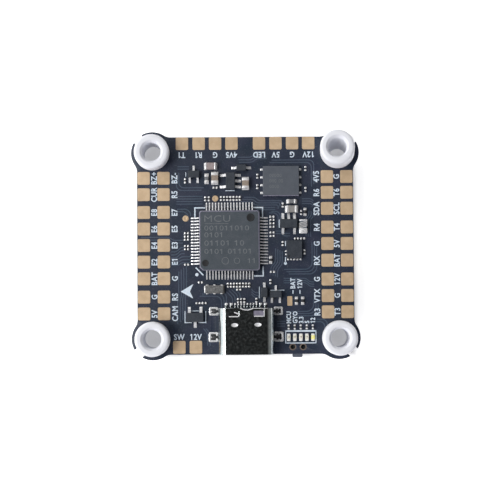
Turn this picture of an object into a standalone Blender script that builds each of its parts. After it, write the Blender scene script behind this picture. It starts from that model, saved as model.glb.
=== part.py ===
"""A flight controller board on four soft mounts, modelled as separate solid pieces.

The frame is in metres with +Z up. The origin lies on the surface that the board stands on, under
the centre of the mounting-hole square. +X and +Y run along the board's edges, the USB socket is on
the -Y edge, and the craft's nose is towards -X. Sizes below are in millimetres, and every piece is
drawn in millimetres and turned into metres by MM when its mesh is made.
"""

import math

import bmesh
import bpy
from mathutils import Matrix

MM = 0.001

# Driving dimensions.
HOLE_PITCH = 30.5
HOLE_DIAMETER = 4.0
HOLE_SLOT = 1.75
EAR_RADIUS = 3.5
EAR_FILLET = 2.0
BOARD_WIDTH = 35.55
BOARD_DEPTH = 35.7
BOARD_THICKNESS = 1.6
GROMMET_HEIGHT = 8.0
GROMMET_FLANGE = 5.8
GROMMET_NECK = 3.9
GROMMET_BORE = 3.0
SOLDER_GAP = 0.05

# Heights and corners that follow from them.
BOARD_BOTTOM = (GROMMET_HEIGHT - BOARD_THICKNESS) / 2
BOARD_TOP = BOARD_BOTTOM + BOARD_THICKNESS
HOLE_OFFSET = HOLE_PITCH / 2
CORNERS = {
    "front_left": (-HOLE_OFFSET, -HOLE_OFFSET),
    "front_right": (-HOLE_OFFSET, HOLE_OFFSET),
    "rear_left": (HOLE_OFFSET, -HOLE_OFFSET),
    "rear_right": (HOLE_OFFSET, HOLE_OFFSET),
}

# USB socket, opening at the board's -Y edge.
USB_WIDTH = 8.94
USB_HEIGHT = 3.16
USB_DEPTH = 7.55
USB_CORNER = 1.28
USB_WALL = 0.3
USB_MOUTH_Y = -BOARD_DEPTH / 2
USB_TONGUE_WIDTH = 6.69
USB_TONGUE_THICKNESS = 0.7
USB_TONGUE_REACH = 4.45
USB_BLOCK_DEPTH = 2.1
USB_LUG_THICKNESS = 0.3
# Each lug: distance from the centre line, Y, lug width along Y, slot size along X and Y.
USB_LUGS = ((5.3, -10.78, 0.45, 0.8, 0.7), (5.36, -15.0, 0.7, 0.85, 0.95))

# Side-push button under the board, opening at the same edge.
BUTTON_X = 8.46
BUTTON_FRONT_Y = -17.45
BUTTON_WIDTH = 3.5
BUTTON_DEPTH = 2.5
BUTTON_HEIGHT = 1.5
BUTTON_WALL = 0.45
BUTTON_ROOF = 0.3
BUTTON_STEM = 1.65
BUTTON_HEAD = 2.1
BUTTON_REACH = 0.6
BUTTON_PEG_PITCH = 1.7
BUTTON_PEG_Y = -16.7
BUTTON_PEG_DIAMETER = 0.62
BUTTON_PEG_HOLE = 0.76
BUTTON_ACTUATOR_HEIGHT = 1.0
BUTTON_GAP = 0.05
BUTTON_COVER_THICKNESS = 0.15

# Eight-way side-entry connector under the board, opening at the +X edge.
ESC_WAYS = 8
ESC_PITCH = 1.0
ESC_WIDTH = 10.0
ESC_DEPTH = 4.25
ESC_HEIGHT = 2.9
ESC_WALL = 0.55
ESC_SOCKET_DEPTH = 3.0
ESC_PIN = 0.3
ESC_PIN_HEIGHT = 1.45

# Moulded packages: body along X, along Y, body height, lead width, lead span along X, along Y.
PACKAGES = {
    "lqfp64": (10.0, 10.0, 1.4, 0.22, 12.0, 12.0),
    "sot23": (2.92, 1.6, 1.1, 0.42, 2.92, 2.8),
    "sot323": (2.0, 1.25, 0.95, 0.3, 2.0, 2.3),
    "sod323": (1.7, 1.15, 0.95, 0.35, 2.6, 1.15),
    "tssop28": (9.7, 4.4, 1.0, 0.24, 9.7, 6.4),
}
LEAD_THICKNESS = 0.13
BODY_DRAFT = 0.12

# Two-terminal chips: length, width, height, length of each end cap.
CHIPS = {
    "capacitor_0603": (1.6, 0.8, 0.75, 0.35),
    "capacitor_0805": (2.0, 1.25, 1.0, 0.42),
    "capacitor_1206": (3.2, 1.6, 1.5, 0.5),
    "resistor_0402": (1.0, 0.5, 0.35, 0.22),
    "resistor_0603": (1.6, 0.8, 0.45, 0.3),
    "led_0402": (1.0, 0.5, 0.4, 0.2),
    "inductor_0805": (2.3, 1.3, 1.1, 0.4),
}
CAP_STEP = 0.03

# Plain block packages: along X, along Y, height.
BLOCKS = {
    "memory_chip": (6.0, 5.0, 0.75),
    "motion_sensor": (2.5, 3.0, 0.9),
}

# Where each piece stands on the top of the board: kind, X, Y, quarter turns.
TOP_CHIPS = {
    "capacitor_1": ("capacitor_0805", -5.68, 13.0, 0),
    "capacitor_2": ("capacitor_0805", -4.98, 11.05, 1),
    "capacitor_3": ("capacitor_0805", 0.05, 10.17, 1),
    "capacitor_4": ("capacitor_0603", 7.6, 7.15, 0),
    "capacitor_5": ("capacitor_0805", 7.6, 5.88, 0),
    "resistor_1": ("resistor_0603", -6.33, 10.99, 1),
    "resistor_2": ("resistor_0402", 9.8, 5.42, 1),
    "jumper_resistor_1": ("resistor_0402", 8.27, -9.15, 1),
    "jumper_resistor_2": ("resistor_0402", 9.29, -9.15, 1),
    "chip_inductor": ("inductor_0805", 9.45, 3.0, 1),
}
TOP_PACKAGES = {
    "microcontroller": ("lqfp64", -2.63, 0.73, 0),
    "regulator_1": ("sot23", -2.42, 10.56, 3),
    "regulator_2": ("sot23", 7.1, 3.5, 0),
    "transistor_1": ("sot23", -8.33, -11.75, 0),
    "transistor_2": ("sot323", -8.45, 11.72, 0),
    "transistor_3": ("sot323", 4.9, -8.05, 0),
    "diode_1": ("sod323", -0.62, 12.72, 0),
    "diode_2": ("sod323", 3.02, -7.75, 1),
}
TOP_BLOCKS = {
    "memory_chip": (5.87, 10.5),
    "motion_sensor": (8.0, -0.75),
}
RESONATOR_PLACE = (-5.13, -7.2)
LED_COUNT = 5
LED_FIRST_X = 6.96
LED_PITCH = 0.99
LED_Y = -15.13

# Where each piece hangs under the board, seen in the same X and Y.
BOTTOM_PACKAGES = {
    "osd_chip": ("tssop28", -1.5, 8.8, 0),
    "buck_regulator_1": ("sot23", -6.0, 2.2, 1),
    "buck_regulator_2": ("sot23", -6.0, -4.2, 1),
}
BOTTOM_CHIPS = {
    "power_capacitor_1": ("capacitor_1206", -14.4, 2.2, 1),
    "power_capacitor_2": ("capacitor_1206", -14.4, -4.2, 1),
    "power_capacitor_3": ("capacitor_1206", -2.9, 2.2, 1),
    "power_capacitor_4": ("capacitor_1206", -2.9, -4.2, 1),
}
POWER_INDUCTORS = {"power_inductor_1": (-10.2, 2.2), "power_inductor_2": (-10.2, -4.2)}
POWER_INDUCTOR_SIDE = 4.2
POWER_INDUCTOR_HEIGHT = 2.0
BAROMETER_PLACE = (5.5, 1.0)

# Lead places along each side: (side, offset) where side is the direction that the lead points in.
LEADS = {
    "lqfp64": [
        (side, (i - 7.5) * 0.5) for side in ("+x", "-x", "+y", "-y") for i in range(16)
    ],
    "tssop28": [(side, (i - 6.5) * 0.65) for side in ("+y", "-y") for i in range(14)],
    "five": [("+y", -0.95), ("+y", 0.0), ("+y", 0.95), ("-y", -0.95), ("-y", 0.95)],
    "six": [(side, (i - 1) * 0.95) for side in ("+y", "-y") for i in range(3)],
    "three_sot23": [("+y", -0.95), ("+y", 0.95), ("-y", 0.0)],
    "three_sot323": [("+y", 0.0), ("-y", -0.65), ("-y", 0.65)],
    "two": [("+x", 0.0), ("-x", 0.0)],
}
LEADS_OF = {
    "microcontroller": "lqfp64",
    "regulator_1": "five",
    "regulator_2": "five",
    "transistor_1": "three_sot23",
    "transistor_2": "three_sot323",
    "transistor_3": "three_sot323",
    "diode_1": "two",
    "diode_2": "two",
    "osd_chip": "tssop28",
    "buck_regulator_1": "six",
    "buck_regulator_2": "six",
}

# Finishes: colour, roughness, metallic.
FINISHES = {
    "solder_mask": ((0.045, 0.06, 0.09), 0.4, 0.0),
    "silicone": ((0.85, 0.86, 0.92), 0.45, 0.0),
    "black_moulding": ((0.035, 0.037, 0.04), 0.55, 0.0),
    "tin": ((0.72, 0.72, 0.74), 0.3, 1.0),
    "dark_steel": ((0.3, 0.31, 0.32), 0.25, 1.0),
    "brown_ceramic": ((0.42, 0.34, 0.28), 0.5, 0.0),
    "black_ceramic": ((0.05, 0.05, 0.055), 0.5, 0.0),
    "grey_ceramic": ((0.42, 0.42, 0.4), 0.5, 0.0),
    "lamp_resin": ((0.75, 0.78, 0.6), 0.3, 0.0),
    "grey_plastic": ((0.2, 0.23, 0.3), 0.5, 0.0),
    "white_plastic": ((0.8, 0.78, 0.72), 0.5, 0.0),
    "ferrite": ((0.12, 0.12, 0.13), 0.6, 0.0),
}


def clear_scene():
    for obj in list(bpy.data.objects):
        bpy.data.objects.remove(obj, do_unlink=True)


# Shapes, all drawn into a bmesh in millimetres.


def add_prism(bm, outline, low, high, turn=None):
    """Extrudes a flat outline from low to high along its own Z, then turns it into place."""
    base = bm.faces.new([bm.verts.new((x, y, low)) for x, y in outline])
    grown = bmesh.ops.extrude_face_region(bm, geom=[base])["geom"]
    top = [v for v in grown if isinstance(v, bmesh.types.BMVert)]
    bmesh.ops.translate(bm, vec=(0, 0, high - low), verts=top)
    if turn is not None:
        bmesh.ops.transform(bm, matrix=turn, verts=list(base.verts) + top)


def add_block(bm, size, centre):
    scale = Matrix.Diagonal((*size, 1.0))
    bmesh.ops.create_cube(bm, size=1.0, matrix=Matrix.Translation(centre) @ scale)


def add_cylinder(bm, diameter, low, high, x, y, segments=16):
    bmesh.ops.create_cone(
        bm,
        cap_ends=True,
        segments=segments,
        radius1=diameter / 2,
        radius2=diameter / 2,
        depth=high - low,
        matrix=Matrix.Translation((x, y, (low + high) / 2)),
    )


def add_stack(bm, sections, turn=None):
    """Joins rectangles (height, half X, half Y) that stand one above the other into one solid."""
    loops = []
    for height, half_x, half_y in sections:
        ring = ((-half_x, -half_y), (half_x, -half_y), (half_x, half_y), (-half_x, half_y))
        loops.append([bm.verts.new((x, y, height)) for x, y in ring])
    bm.faces.new(loops[0])
    bm.faces.new(loops[-1])
    for below, above in zip(loops, loops[1:]):
        for i in range(4):
            j = (i + 1) % 4
            bm.faces.new((below[i], below[j], above[j], above[i]))
    if turn is not None:
        bmesh.ops.transform(bm, matrix=turn, verts=[v for loop in loops for v in loop])


def add_turned(bm, profile, segments):
    """Spins a closed profile of (radius, height) round the Z axis."""
    verts = [bm.verts.new((radius, 0, height)) for radius, height in profile]
    edges = [bm.edges.new((a, b)) for a, b in zip(verts, verts[1:] + verts[:1])]
    bmesh.ops.spin(
        bm,
        geom=verts + edges,
        cent=(0, 0, 0),
        axis=(0, 0, 1),
        angle=2 * math.pi,
        steps=segments,
        use_merge=True,
    )


def arc(x, y, radius, start, end, steps):
    """Points of an arc, both ends included. Angles are in degrees."""
    angles = [math.radians(start + (end - start) * i / steps) for i in range(steps + 1)]
    return [(x + radius * math.cos(a), y + radius * math.sin(a)) for a in angles]


def rounded_rectangle(width, height, radius, steps=6):
    x, y = width / 2 - radius, height / 2 - radius
    return (
        arc(x, y, radius, 0, 90, steps)
        + arc(-x, y, radius, 90, 180, steps)
        + arc(-x, -y, radius, 180, 270, steps)
        + arc(x, -y, radius, 270, 360, steps)
    )


# Objects.


def mesh_of(bm, name):
    bmesh.ops.recalc_face_normals(bm, faces=bm.faces[:])
    bmesh.ops.scale(bm, vec=(MM, MM, MM), verts=bm.verts[:])
    mesh = bpy.data.meshes.new(name)
    bm.to_mesh(mesh)
    bm.free()
    return mesh


def holder(name, z, flipped=False):
    """An empty that carries the pieces of one side of the board."""
    empty = bpy.data.objects.new(name, None)
    empty.location = (0, 0, z * MM)
    empty.rotation_euler = (math.pi if flipped else 0, 0, 0)
    bpy.context.scene.collection.objects.link(empty)
    return empty


def finish_material(name, finish):
    colour, roughness, metallic = FINISHES[finish]
    material = bpy.data.materials.new(name)
    material.use_nodes = True
    shader = material.node_tree.nodes["Principled BSDF"]
    shader.inputs["Base Color"].default_value = (*colour, 1)
    shader.inputs["Roughness"].default_value = roughness
    shader.inputs["Metallic"].default_value = metallic
    material.diffuse_color = (*colour, 1)
    return material


def piece(name, bm, finish, place=(0, 0, 0), turns=0, parent=None, smooth=False):
    """Makes the object of one piece. turns are quarter turns about Z."""
    mesh = mesh_of(bm, name)
    if smooth:
        mesh.shade_smooth()
        mesh.set_sharp_from_angle(angle=math.radians(40))
    obj = bpy.data.objects.new(name, mesh)
    obj.data.materials.append(finish_material(name, finish))
    obj.location = [value * MM for value in place]
    obj.rotation_euler = (0, 0, turns * math.pi / 2)
    obj.parent = parent
    bpy.context.scene.collection.objects.link(obj)
    return obj


def boolean(target, tool_bm, operation):
    """Cuts the tool shapes from the target, or joins them to it. They share its local frame."""
    name = f"{target.name}_{operation.lower()}_tool"
    tool = bpy.data.objects.new(name, mesh_of(tool_bm, name))
    tool.parent = target
    tool.hide_render = True
    tool.display_type = "WIRE"
    bpy.context.scene.collection.objects.link(tool)
    modifier = target.modifiers.new(operation.title(), "BOOLEAN")
    modifier.operation = operation
    modifier.object = tool


# The board and its soft mounts.


def ear_corner():
    """The board's edge round the ear at +X +Y, counter-clockwise from the side to the end."""
    side, end = BOARD_WIDTH / 2, BOARD_DEPTH / 2
    reach = EAR_RADIUS + EAR_FILLET
    out_x = side + EAR_FILLET - HOLE_OFFSET
    out_y = end + EAR_FILLET - HOLE_OFFSET
    back_y = math.sqrt(reach**2 - out_x**2)
    back_x = math.sqrt(reach**2 - out_y**2)
    first = math.degrees(math.atan2(-back_y, out_x))
    last = math.degrees(math.atan2(out_y, -back_x))
    return (
        arc(side + EAR_FILLET, HOLE_OFFSET - back_y, EAR_FILLET, 180, first + 180, 3)
        + arc(HOLE_OFFSET, HOLE_OFFSET, EAR_RADIUS, first, last, 14)[1:-1]
        + arc(HOLE_OFFSET - back_x, end + EAR_FILLET, EAR_FILLET, last - 180, -90, 3)
    )


def board_outline():
    corner = ear_corner()
    return (
        corner
        + [(-x, y) for x, y in reversed(corner)]
        + [(-x, -y) for x, y in corner]
        + [(x, -y) for x, y in reversed(corner)]
    )


def keyhole():
    """A mounting hole with the slot that opens it along +X."""
    radius = HOLE_DIAMETER / 2
    half = math.degrees(math.asin(HOLE_SLOT / 2 / radius))
    reach = EAR_RADIUS + 1.0
    rim = arc(0, 0, radius, half, 360 - half, 20)
    return rim + [(reach, -HOLE_SLOT / 2), (reach, HOLE_SLOT / 2)]


def make_board():
    bm = bmesh.new()
    add_prism(bm, board_outline(), 0, BOARD_THICKNESS)
    board = piece("circuit_board", bm, "solder_mask", place=(0, 0, BOARD_BOTTOM))
    low, high = -1.0, BOARD_THICKNESS + 1.0
    cuts = bmesh.new()
    for x, y in CORNERS.values():
        turn = Matrix.Rotation(math.atan2(y, x), 4, "Z")
        add_prism(cuts, keyhole(), low, high, Matrix.Translation((x, y, 0)) @ turn)
    for x, y, _, slot_x, slot_y in USB_LUGS:
        for side in (-1, 1):
            outline = rounded_rectangle(slot_x, slot_y, 0.3, 3)
            add_prism(cuts, outline, low, high, Matrix.Translation((side * x, y, 0)))
    for side in (-1, 1):
        peg_x = BUTTON_X + side * BUTTON_PEG_PITCH / 2
        add_cylinder(cuts, BUTTON_PEG_HOLE, low, high, peg_x, BUTTON_PEG_Y)
    boolean(board, cuts, "DIFFERENCE")


def grommet_profile():
    """Half of a grommet's section: bore with coned mouths, two round-edged flanges, a neck."""
    bore, flange, neck = GROMMET_BORE / 2, GROMMET_FLANGE / 2, GROMMET_NECK / 2
    mouth, cone, edge = bore + 0.4, 0.45, 0.45
    flat = flange - edge
    shoulder = BOARD_BOTTOM - SOLDER_GAP
    lower = [(bore, cone), (mouth, 0), (flat, 0)]
    lower += arc(flat, edge, edge, -90, 0, 3)[1:]
    lower += [(flange, shoulder), (neck, shoulder)]
    return lower + [(radius, GROMMET_HEIGHT - z) for radius, z in reversed(lower)]


def make_grommets():
    for name, (x, y) in CORNERS.items():
        bm = bmesh.new()
        add_turned(bm, grommet_profile(), 20)
        piece(f"grommet_{name}", bm, "silicone", place=(x, y, 0), smooth=True)


# Soldered pieces.


def lead_outline(inner, span, body_height):
    """A gull-wing lead from inside the body to the tip of its foot, as (outward, height)."""
    shoulder = (inner + span / 2) / 2 + 0.12
    foot = shoulder + 0.18
    root = inner - 0.3
    low = SOLDER_GAP + body_height / 2 - LEAD_THICKNESS / 2
    high = low + LEAD_THICKNESS
    return [
        (root, low),
        (shoulder - LEAD_THICKNESS, low),
        (foot - LEAD_THICKNESS, 0),
        (span / 2, 0),
        (span / 2, LEAD_THICKNESS),
        (foot, LEAD_THICKNESS),
        (shoulder, high),
        (root, high),
    ]


def side_frame(side, offset):
    """Turns (outward, height, along) into the place of a lead on one side of a package."""
    turn = {"+x": 0, "+y": 90, "-x": 180, "-y": 270}[side]
    upright = Matrix.Rotation(math.pi / 2, 4, "X")
    spin = Matrix.Rotation(math.radians(turn), 4, "Z")
    shift = (0, offset, 0) if side[1] == "x" else (offset, 0, 0)
    return Matrix.Translation(shift) @ spin @ upright


def make_package(name, kind, place, turns, parent):
    """A moulded body with drafted sides, joined to its gull-wing leads."""
    size_x, size_y, height, lead_width, span_x, span_y = PACKAGES[kind]
    half_x, half_y = size_x / 2, size_y / 2
    top = SOLDER_GAP + height
    middle = SOLDER_GAP + height / 2
    bm = bmesh.new()
    sections = [
        (SOLDER_GAP, half_x - BODY_DRAFT, half_y - BODY_DRAFT),
        (middle, half_x, half_y),
        (top, half_x - BODY_DRAFT, half_y - BODY_DRAFT),
    ]
    add_stack(bm, sections)
    x, y = place
    body = piece(name, bm, "black_moulding", (x, y, SOLDER_GAP), turns, parent)
    leads = bmesh.new()
    for side, offset in LEADS[LEADS_OF[name]]:
        along_x = side[1] == "x"
        inner, span = (half_x, span_x) if along_x else (half_y, span_y)
        outline = lead_outline(inner, span, height)
        frame = side_frame(side, offset)
        add_prism(leads, outline, -lead_width / 2, lead_width / 2, frame)
    boolean(body, leads, "UNION")


def make_chip(name, kind, place, turns, parent, finish):
    """A two-terminal chip along X whose end caps stand a little proud of its body."""
    length, width, height, cap = CHIPS[kind]
    end, inner = length / 2, length / 2 - cap
    full = (height / 2, width / 2)
    slim = (height / 2 - CAP_STEP, width / 2 - CAP_STEP)
    sections = [
        (-end, *full),
        (-inner, *full),
        (-inner, *slim),
        (inner, *slim),
        (inner, *full),
        (end, *full),
    ]
    bm = bmesh.new()
    lay_down = Matrix.Rotation(math.pi / 2, 4, "Y")
    add_stack(bm, sections, Matrix.Translation((0, 0, height / 2)) @ lay_down)
    piece(name, bm, finish, (*place, SOLDER_GAP), turns, parent)


def chip_finish(kind):
    if kind.startswith("capacitor"):
        return "brown_ceramic"
    return "grey_ceramic" if kind.startswith("inductor") else "black_ceramic"


def make_block(name, size, place, parent, finish):
    """A leadless package with a small chamfer round its top."""
    size_x, size_y, height = size
    half_x, half_y, chamfer = size_x / 2, size_y / 2, 0.06
    sections = [
        (0, half_x, half_y),
        (height - chamfer, half_x, half_y),
        (height, half_x - chamfer, half_y - chamfer),
    ]
    bm = bmesh.new()
    add_stack(bm, sections)
    piece(name, bm, finish, (*place, SOLDER_GAP), 0, parent)


def make_lidded(name, base, lid, place, parent, finish):
    """A ceramic or laminate base with a smaller lid on it. Sizes are X, Y, height."""
    total = base[2] + lid[2]
    sections = [
        (0, base[0] / 2, base[1] / 2),
        (base[2], base[0] / 2, base[1] / 2),
        (base[2], lid[0] / 2, lid[1] / 2),
        (total, lid[0] / 2, lid[1] / 2),
    ]
    bm = bmesh.new()
    add_stack(bm, sections)
    piece(name, bm, finish, (*place, SOLDER_GAP), 0, parent)


def make_top_pieces(top):
    for name, (kind, x, y, turns) in TOP_PACKAGES.items():
        make_package(name, kind, (x, y), turns, top)
    for name, (kind, x, y, turns) in TOP_CHIPS.items():
        make_chip(name, kind, (x, y), turns, top, chip_finish(kind))
    for name, place in TOP_BLOCKS.items():
        make_block(name, BLOCKS[name], place, top, "black_moulding")
    base, lid = (3.2, 1.3, 0.5), (3.0, 1.1, 0.4)
    make_lidded("resonator", base, lid, RESONATOR_PLACE, top, "grey_ceramic")
    for i in range(LED_COUNT):
        place = (LED_FIRST_X + i * LED_PITCH, LED_Y)
        make_chip(f"status_led_{i + 1}", "led_0402", place, 1, top, "lamp_resin")


def make_power_inductor(name, place, parent):
    outline = rounded_rectangle(POWER_INDUCTOR_SIDE, POWER_INDUCTOR_SIDE, 0.5, 2)
    bm = bmesh.new()
    add_prism(bm, outline, 0, POWER_INDUCTOR_HEIGHT)
    piece(name, bm, "ferrite", (*place, SOLDER_GAP), 0, parent)


def under(place):
    """The local place, under the board, of a piece at the given X and Y: the side is flipped."""
    x, y = place
    return (x, -y)


def make_bottom_pieces(bottom):
    for name, (kind, x, y, turns) in BOTTOM_PACKAGES.items():
        make_package(name, kind, under((x, y)), turns, bottom)
    for name, (kind, x, y, turns) in BOTTOM_CHIPS.items():
        make_chip(name, kind, under((x, y)), turns, bottom, chip_finish(kind))
    for name, place in POWER_INDUCTORS.items():
        make_power_inductor(name, under(place), bottom)
    base, lid = (2.0, 2.5, 0.3), (1.8, 2.3, 0.45)
    make_lidded("barometer", base, lid, under(BAROMETER_PLACE), bottom, "tin")


# The USB socket.


def across_y(y, height):
    """Stands an outline of (X, Z) up so that it is extruded along +Y from the given place."""
    turn = Matrix(((1, 0, 0, 0), (0, 0, 1, y), (0, 1, 0, height), (0, 0, 0, 1)))
    return turn


def make_usb(top):
    mouth, middle = USB_MOUTH_Y, SOLDER_GAP + USB_HEIGHT / 2
    outside = rounded_rectangle(USB_WIDTH, USB_HEIGHT, USB_CORNER)
    inner_width, inner_height = USB_WIDTH - 2 * USB_WALL, USB_HEIGHT - 2 * USB_WALL
    inside = rounded_rectangle(inner_width, inner_height, USB_CORNER - USB_WALL)
    bm = bmesh.new()
    add_prism(bm, outside, 0, USB_DEPTH, across_y(mouth, middle))
    shell = piece("usb_shell", bm, "dark_steel", parent=top, smooth=True)
    hollow = bmesh.new()
    add_prism(hollow, inside, -1, USB_DEPTH + 1, across_y(mouth, middle))
    boolean(shell, hollow, "DIFFERENCE")
    lugs = bmesh.new()
    arm_low, arm_high = 0.55, 0.55 + USB_LUG_THICKNESS
    tip, inner = -BOARD_THICKNESS - 0.1, USB_WIDTH / 2 - USB_WALL
    for side in (-1, 1):
        for x, y, width, _, _ in USB_LUGS:
            out, back = x + USB_LUG_THICKNESS / 2, x - USB_LUG_THICKNESS / 2
            bent = [(inner, arm_low), (back, arm_low), (back, tip), (out, tip)]
            bent += [(out, arm_high), (inner, arm_high)]
            outline = [(side * a, b) for a, b in bent]
            add_prism(lugs, outline, 0, width, across_y(y - width / 2, 0))
    boolean(shell, lugs, "UNION")

    fit = 2 * SOLDER_GAP
    block = rounded_rectangle(
        inner_width - fit, inner_height - fit, USB_CORNER - USB_WALL - SOLDER_GAP
    )
    rear = mouth + USB_DEPTH
    bm = bmesh.new()
    add_prism(bm, block, 0, USB_BLOCK_DEPTH, across_y(rear - USB_BLOCK_DEPTH, middle))
    insulator = piece("usb_insulator", bm, "black_moulding", parent=top)
    tongue = bmesh.new()
    overlap = 0.5
    size = (USB_TONGUE_WIDTH, USB_TONGUE_REACH + overlap, USB_TONGUE_THICKNESS)
    centre_y = rear - USB_BLOCK_DEPTH + overlap - size[1] / 2
    add_block(tongue, size, (0, centre_y, middle))
    boolean(insulator, tongue, "UNION")


# The side-push button, drawn about its own axis and hung from the board's underside.


def make_button(bottom):
    front = -BUTTON_FRONT_Y
    back = front - BUTTON_DEPTH
    middle_y = (front + back) / 2
    low, high = SOLDER_GAP, SOLDER_GAP + BUTTON_HEIGHT
    bm = bmesh.new()
    add_block(bm, (BUTTON_WIDTH, BUTTON_DEPTH, BUTTON_HEIGHT), (0, middle_y, (low + high) / 2))
    place = (BUTTON_X, 0, 0)
    housing = piece("button_housing", bm, "black_moulding", place, parent=bottom)
    cavity = bmesh.new()
    inner_front, inner_back = front - BUTTON_WALL, back + BUTTON_WALL
    roof = low + BUTTON_ROOF
    room = (BUTTON_HEAD + 0.4, inner_front - inner_back, BUTTON_HEIGHT)
    add_block(cavity, room, (0, (inner_front + inner_back) / 2, roof + BUTTON_HEIGHT / 2))
    door = (BUTTON_STEM + 2 * BUTTON_GAP, 2 * BUTTON_WALL, BUTTON_HEIGHT)
    doorway = bmesh.new()
    add_block(doorway, door, (0, front - BUTTON_WALL / 2, roof + BUTTON_HEIGHT / 2))
    boolean(housing, cavity, "DIFFERENCE")
    boolean(housing, doorway, "DIFFERENCE")
    pegs = bmesh.new()
    for side in (-1, 1):
        peg_x = side * BUTTON_PEG_PITCH / 2
        add_cylinder(pegs, BUTTON_PEG_DIAMETER, -0.9, low + 0.1, peg_x, -BUTTON_PEG_Y, 12)
    boolean(housing, pegs, "UNION")

    axis = roof + BUTTON_GAP + BUTTON_ACTUATOR_HEIGHT / 2
    tip = BOARD_DEPTH / 2 + BUTTON_REACH
    head_front, head_depth = inner_front - BUTTON_GAP, 0.45
    half_stem, half_head = BUTTON_STEM / 2, BUTTON_HEAD / 2
    head_back = head_front - head_depth
    right = [(half_head, head_back), (half_head, head_front), (half_stem, head_front)]
    right += arc(half_stem - 0.15, tip - 0.15, 0.15, 0, 90, 2)
    outline = right + [(-x, y) for x, y in reversed(right)]
    half_height = BUTTON_ACTUATOR_HEIGHT / 2
    bm = bmesh.new()
    add_prism(bm, outline, -half_height, half_height)
    piece("button_actuator", bm, "grey_plastic", (BUTTON_X, 0, axis), parent=bottom)

    leaf, half_leaf = 0.08, 0.85
    crest, foot = head_back - BUTTON_GAP, inner_back + BUTTON_GAP
    rise = crest - foot
    radius = (half_leaf**2 + rise**2) / (2 * rise)
    spread = math.degrees(math.asin(half_leaf / radius))
    middle = crest - radius
    outer = arc(0, middle, radius, 90 - spread, 90 + spread, 8)
    inner = arc(0, middle, radius - leaf, 90 + spread, 90 - spread, 8)
    bm = bmesh.new()
    add_prism(bm, outer + inner, -0.35, 0.35)
    piece("button_spring", bm, "tin", (BUTTON_X, 0, axis), parent=bottom)

    wall = BUTTON_COVER_THICKNESS
    inner_x = BUTTON_WIDTH / 2 + BUTTON_GAP
    outer_x = inner_x + wall
    floor, hem = high + BUTTON_GAP, 0.35
    outline = [(-outer_x, hem), (-inner_x, hem), (-inner_x, floor), (inner_x, floor)]
    outline += [(inner_x, hem), (outer_x, hem), (outer_x, floor + wall), (-outer_x, floor + wall)]
    bm = bmesh.new()
    add_prism(bm, outline, 0, BUTTON_DEPTH - 0.2, across_y(back + 0.1, 0))
    piece("button_cover", bm, "tin", place, parent=bottom)


# The connector to the motor controller.


def make_esc_connector(bottom):
    mouth = BOARD_WIDTH / 2
    middle_x = mouth - ESC_DEPTH / 2
    bm = bmesh.new()
    low, high = SOLDER_GAP, SOLDER_GAP + ESC_HEIGHT
    add_block(bm, (ESC_DEPTH, ESC_WIDTH, ESC_HEIGHT), (0, 0, (low + high) / 2))
    place = (middle_x, 0, 0)
    housing = piece("esc_connector_housing", bm, "white_plastic", place, parent=bottom)
    socket = bmesh.new()
    back = ESC_DEPTH / 2 - ESC_SOCKET_DEPTH
    room = (ESC_SOCKET_DEPTH + 1, ESC_WIDTH - 2 * ESC_WALL, ESC_HEIGHT - 2 * ESC_WALL)
    add_block(socket, room, (back + room[0] / 2, 0, (low + high) / 2))
    boolean(housing, socket, "DIFFERENCE")
    holes = bmesh.new()
    bore = ESC_PIN + 2 * BUTTON_GAP
    places = [(i - (ESC_WAYS - 1) / 2) * ESC_PITCH for i in range(ESC_WAYS)]
    for y in places:
        add_block(holes, (ESC_DEPTH, bore, bore), (back - ESC_DEPTH / 2 + 0.3, y, ESC_PIN_HEIGHT))
    boolean(housing, holes, "DIFFERENCE")

    half = ESC_PIN / 2
    knee, tip, foot = -ESC_DEPTH / 2 - 0.35, back + 2.2, -ESC_DEPTH / 2 - 1.1
    outline = [
        (tip, ESC_PIN_HEIGHT - half),
        (tip, ESC_PIN_HEIGHT + half),
        (knee - half, ESC_PIN_HEIGHT + half),
        (knee - half, low + 0.2),
        (foot, low + 0.2),
        (foot, low),
        (knee + half, low),
        (knee + half, ESC_PIN_HEIGHT - half),
    ]
    for i, y in enumerate(places):
        bm = bmesh.new()
        add_prism(bm, outline, -half, half, across_y(0, 0))
        piece(f"esc_connector_pin_{i + 1}", bm, "tin", (middle_x, y, 0), parent=bottom)


def main():
    clear_scene()
    top = holder("top_side", BOARD_TOP)
    bottom = holder("bottom_side", BOARD_BOTTOM, flipped=True)
    make_board()
    make_grommets()
    make_top_pieces(top)
    make_bottom_pieces(bottom)
    make_usb(top)
    make_button(bottom)
    make_esc_connector(bottom)


main()
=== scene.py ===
"""The looks of a flight controller board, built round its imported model.

Every shape is drawn in millimetres and turned into metres when its piece is made. A soldered piece
is drawn standing on the origin, with the board's surface at height 0, and then put where the frame
has it. +X runs along the board, and the USB socket is on the -Y edge.
"""

import math

import bmesh
import bpy
from mathutils import Matrix, Vector


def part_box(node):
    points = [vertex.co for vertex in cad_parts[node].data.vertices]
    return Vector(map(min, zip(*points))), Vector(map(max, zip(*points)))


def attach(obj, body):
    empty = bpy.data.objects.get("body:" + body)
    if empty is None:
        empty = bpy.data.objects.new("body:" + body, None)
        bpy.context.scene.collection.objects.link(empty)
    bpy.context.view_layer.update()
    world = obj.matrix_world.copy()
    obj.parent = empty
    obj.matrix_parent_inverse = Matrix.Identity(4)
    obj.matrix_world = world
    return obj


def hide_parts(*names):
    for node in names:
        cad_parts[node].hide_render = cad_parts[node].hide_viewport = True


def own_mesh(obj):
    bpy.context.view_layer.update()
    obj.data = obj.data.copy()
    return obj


bl_info = {
    "name": "Flight Controller Board",
    "version": (1, 0, 0),
    "blender": (4, 5, 0),
    "location": "View3D > Sidebar > Board",
    "description": "Builds the visible pieces of a flight controller board round its frame",
    "category": "Object",
}

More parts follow.
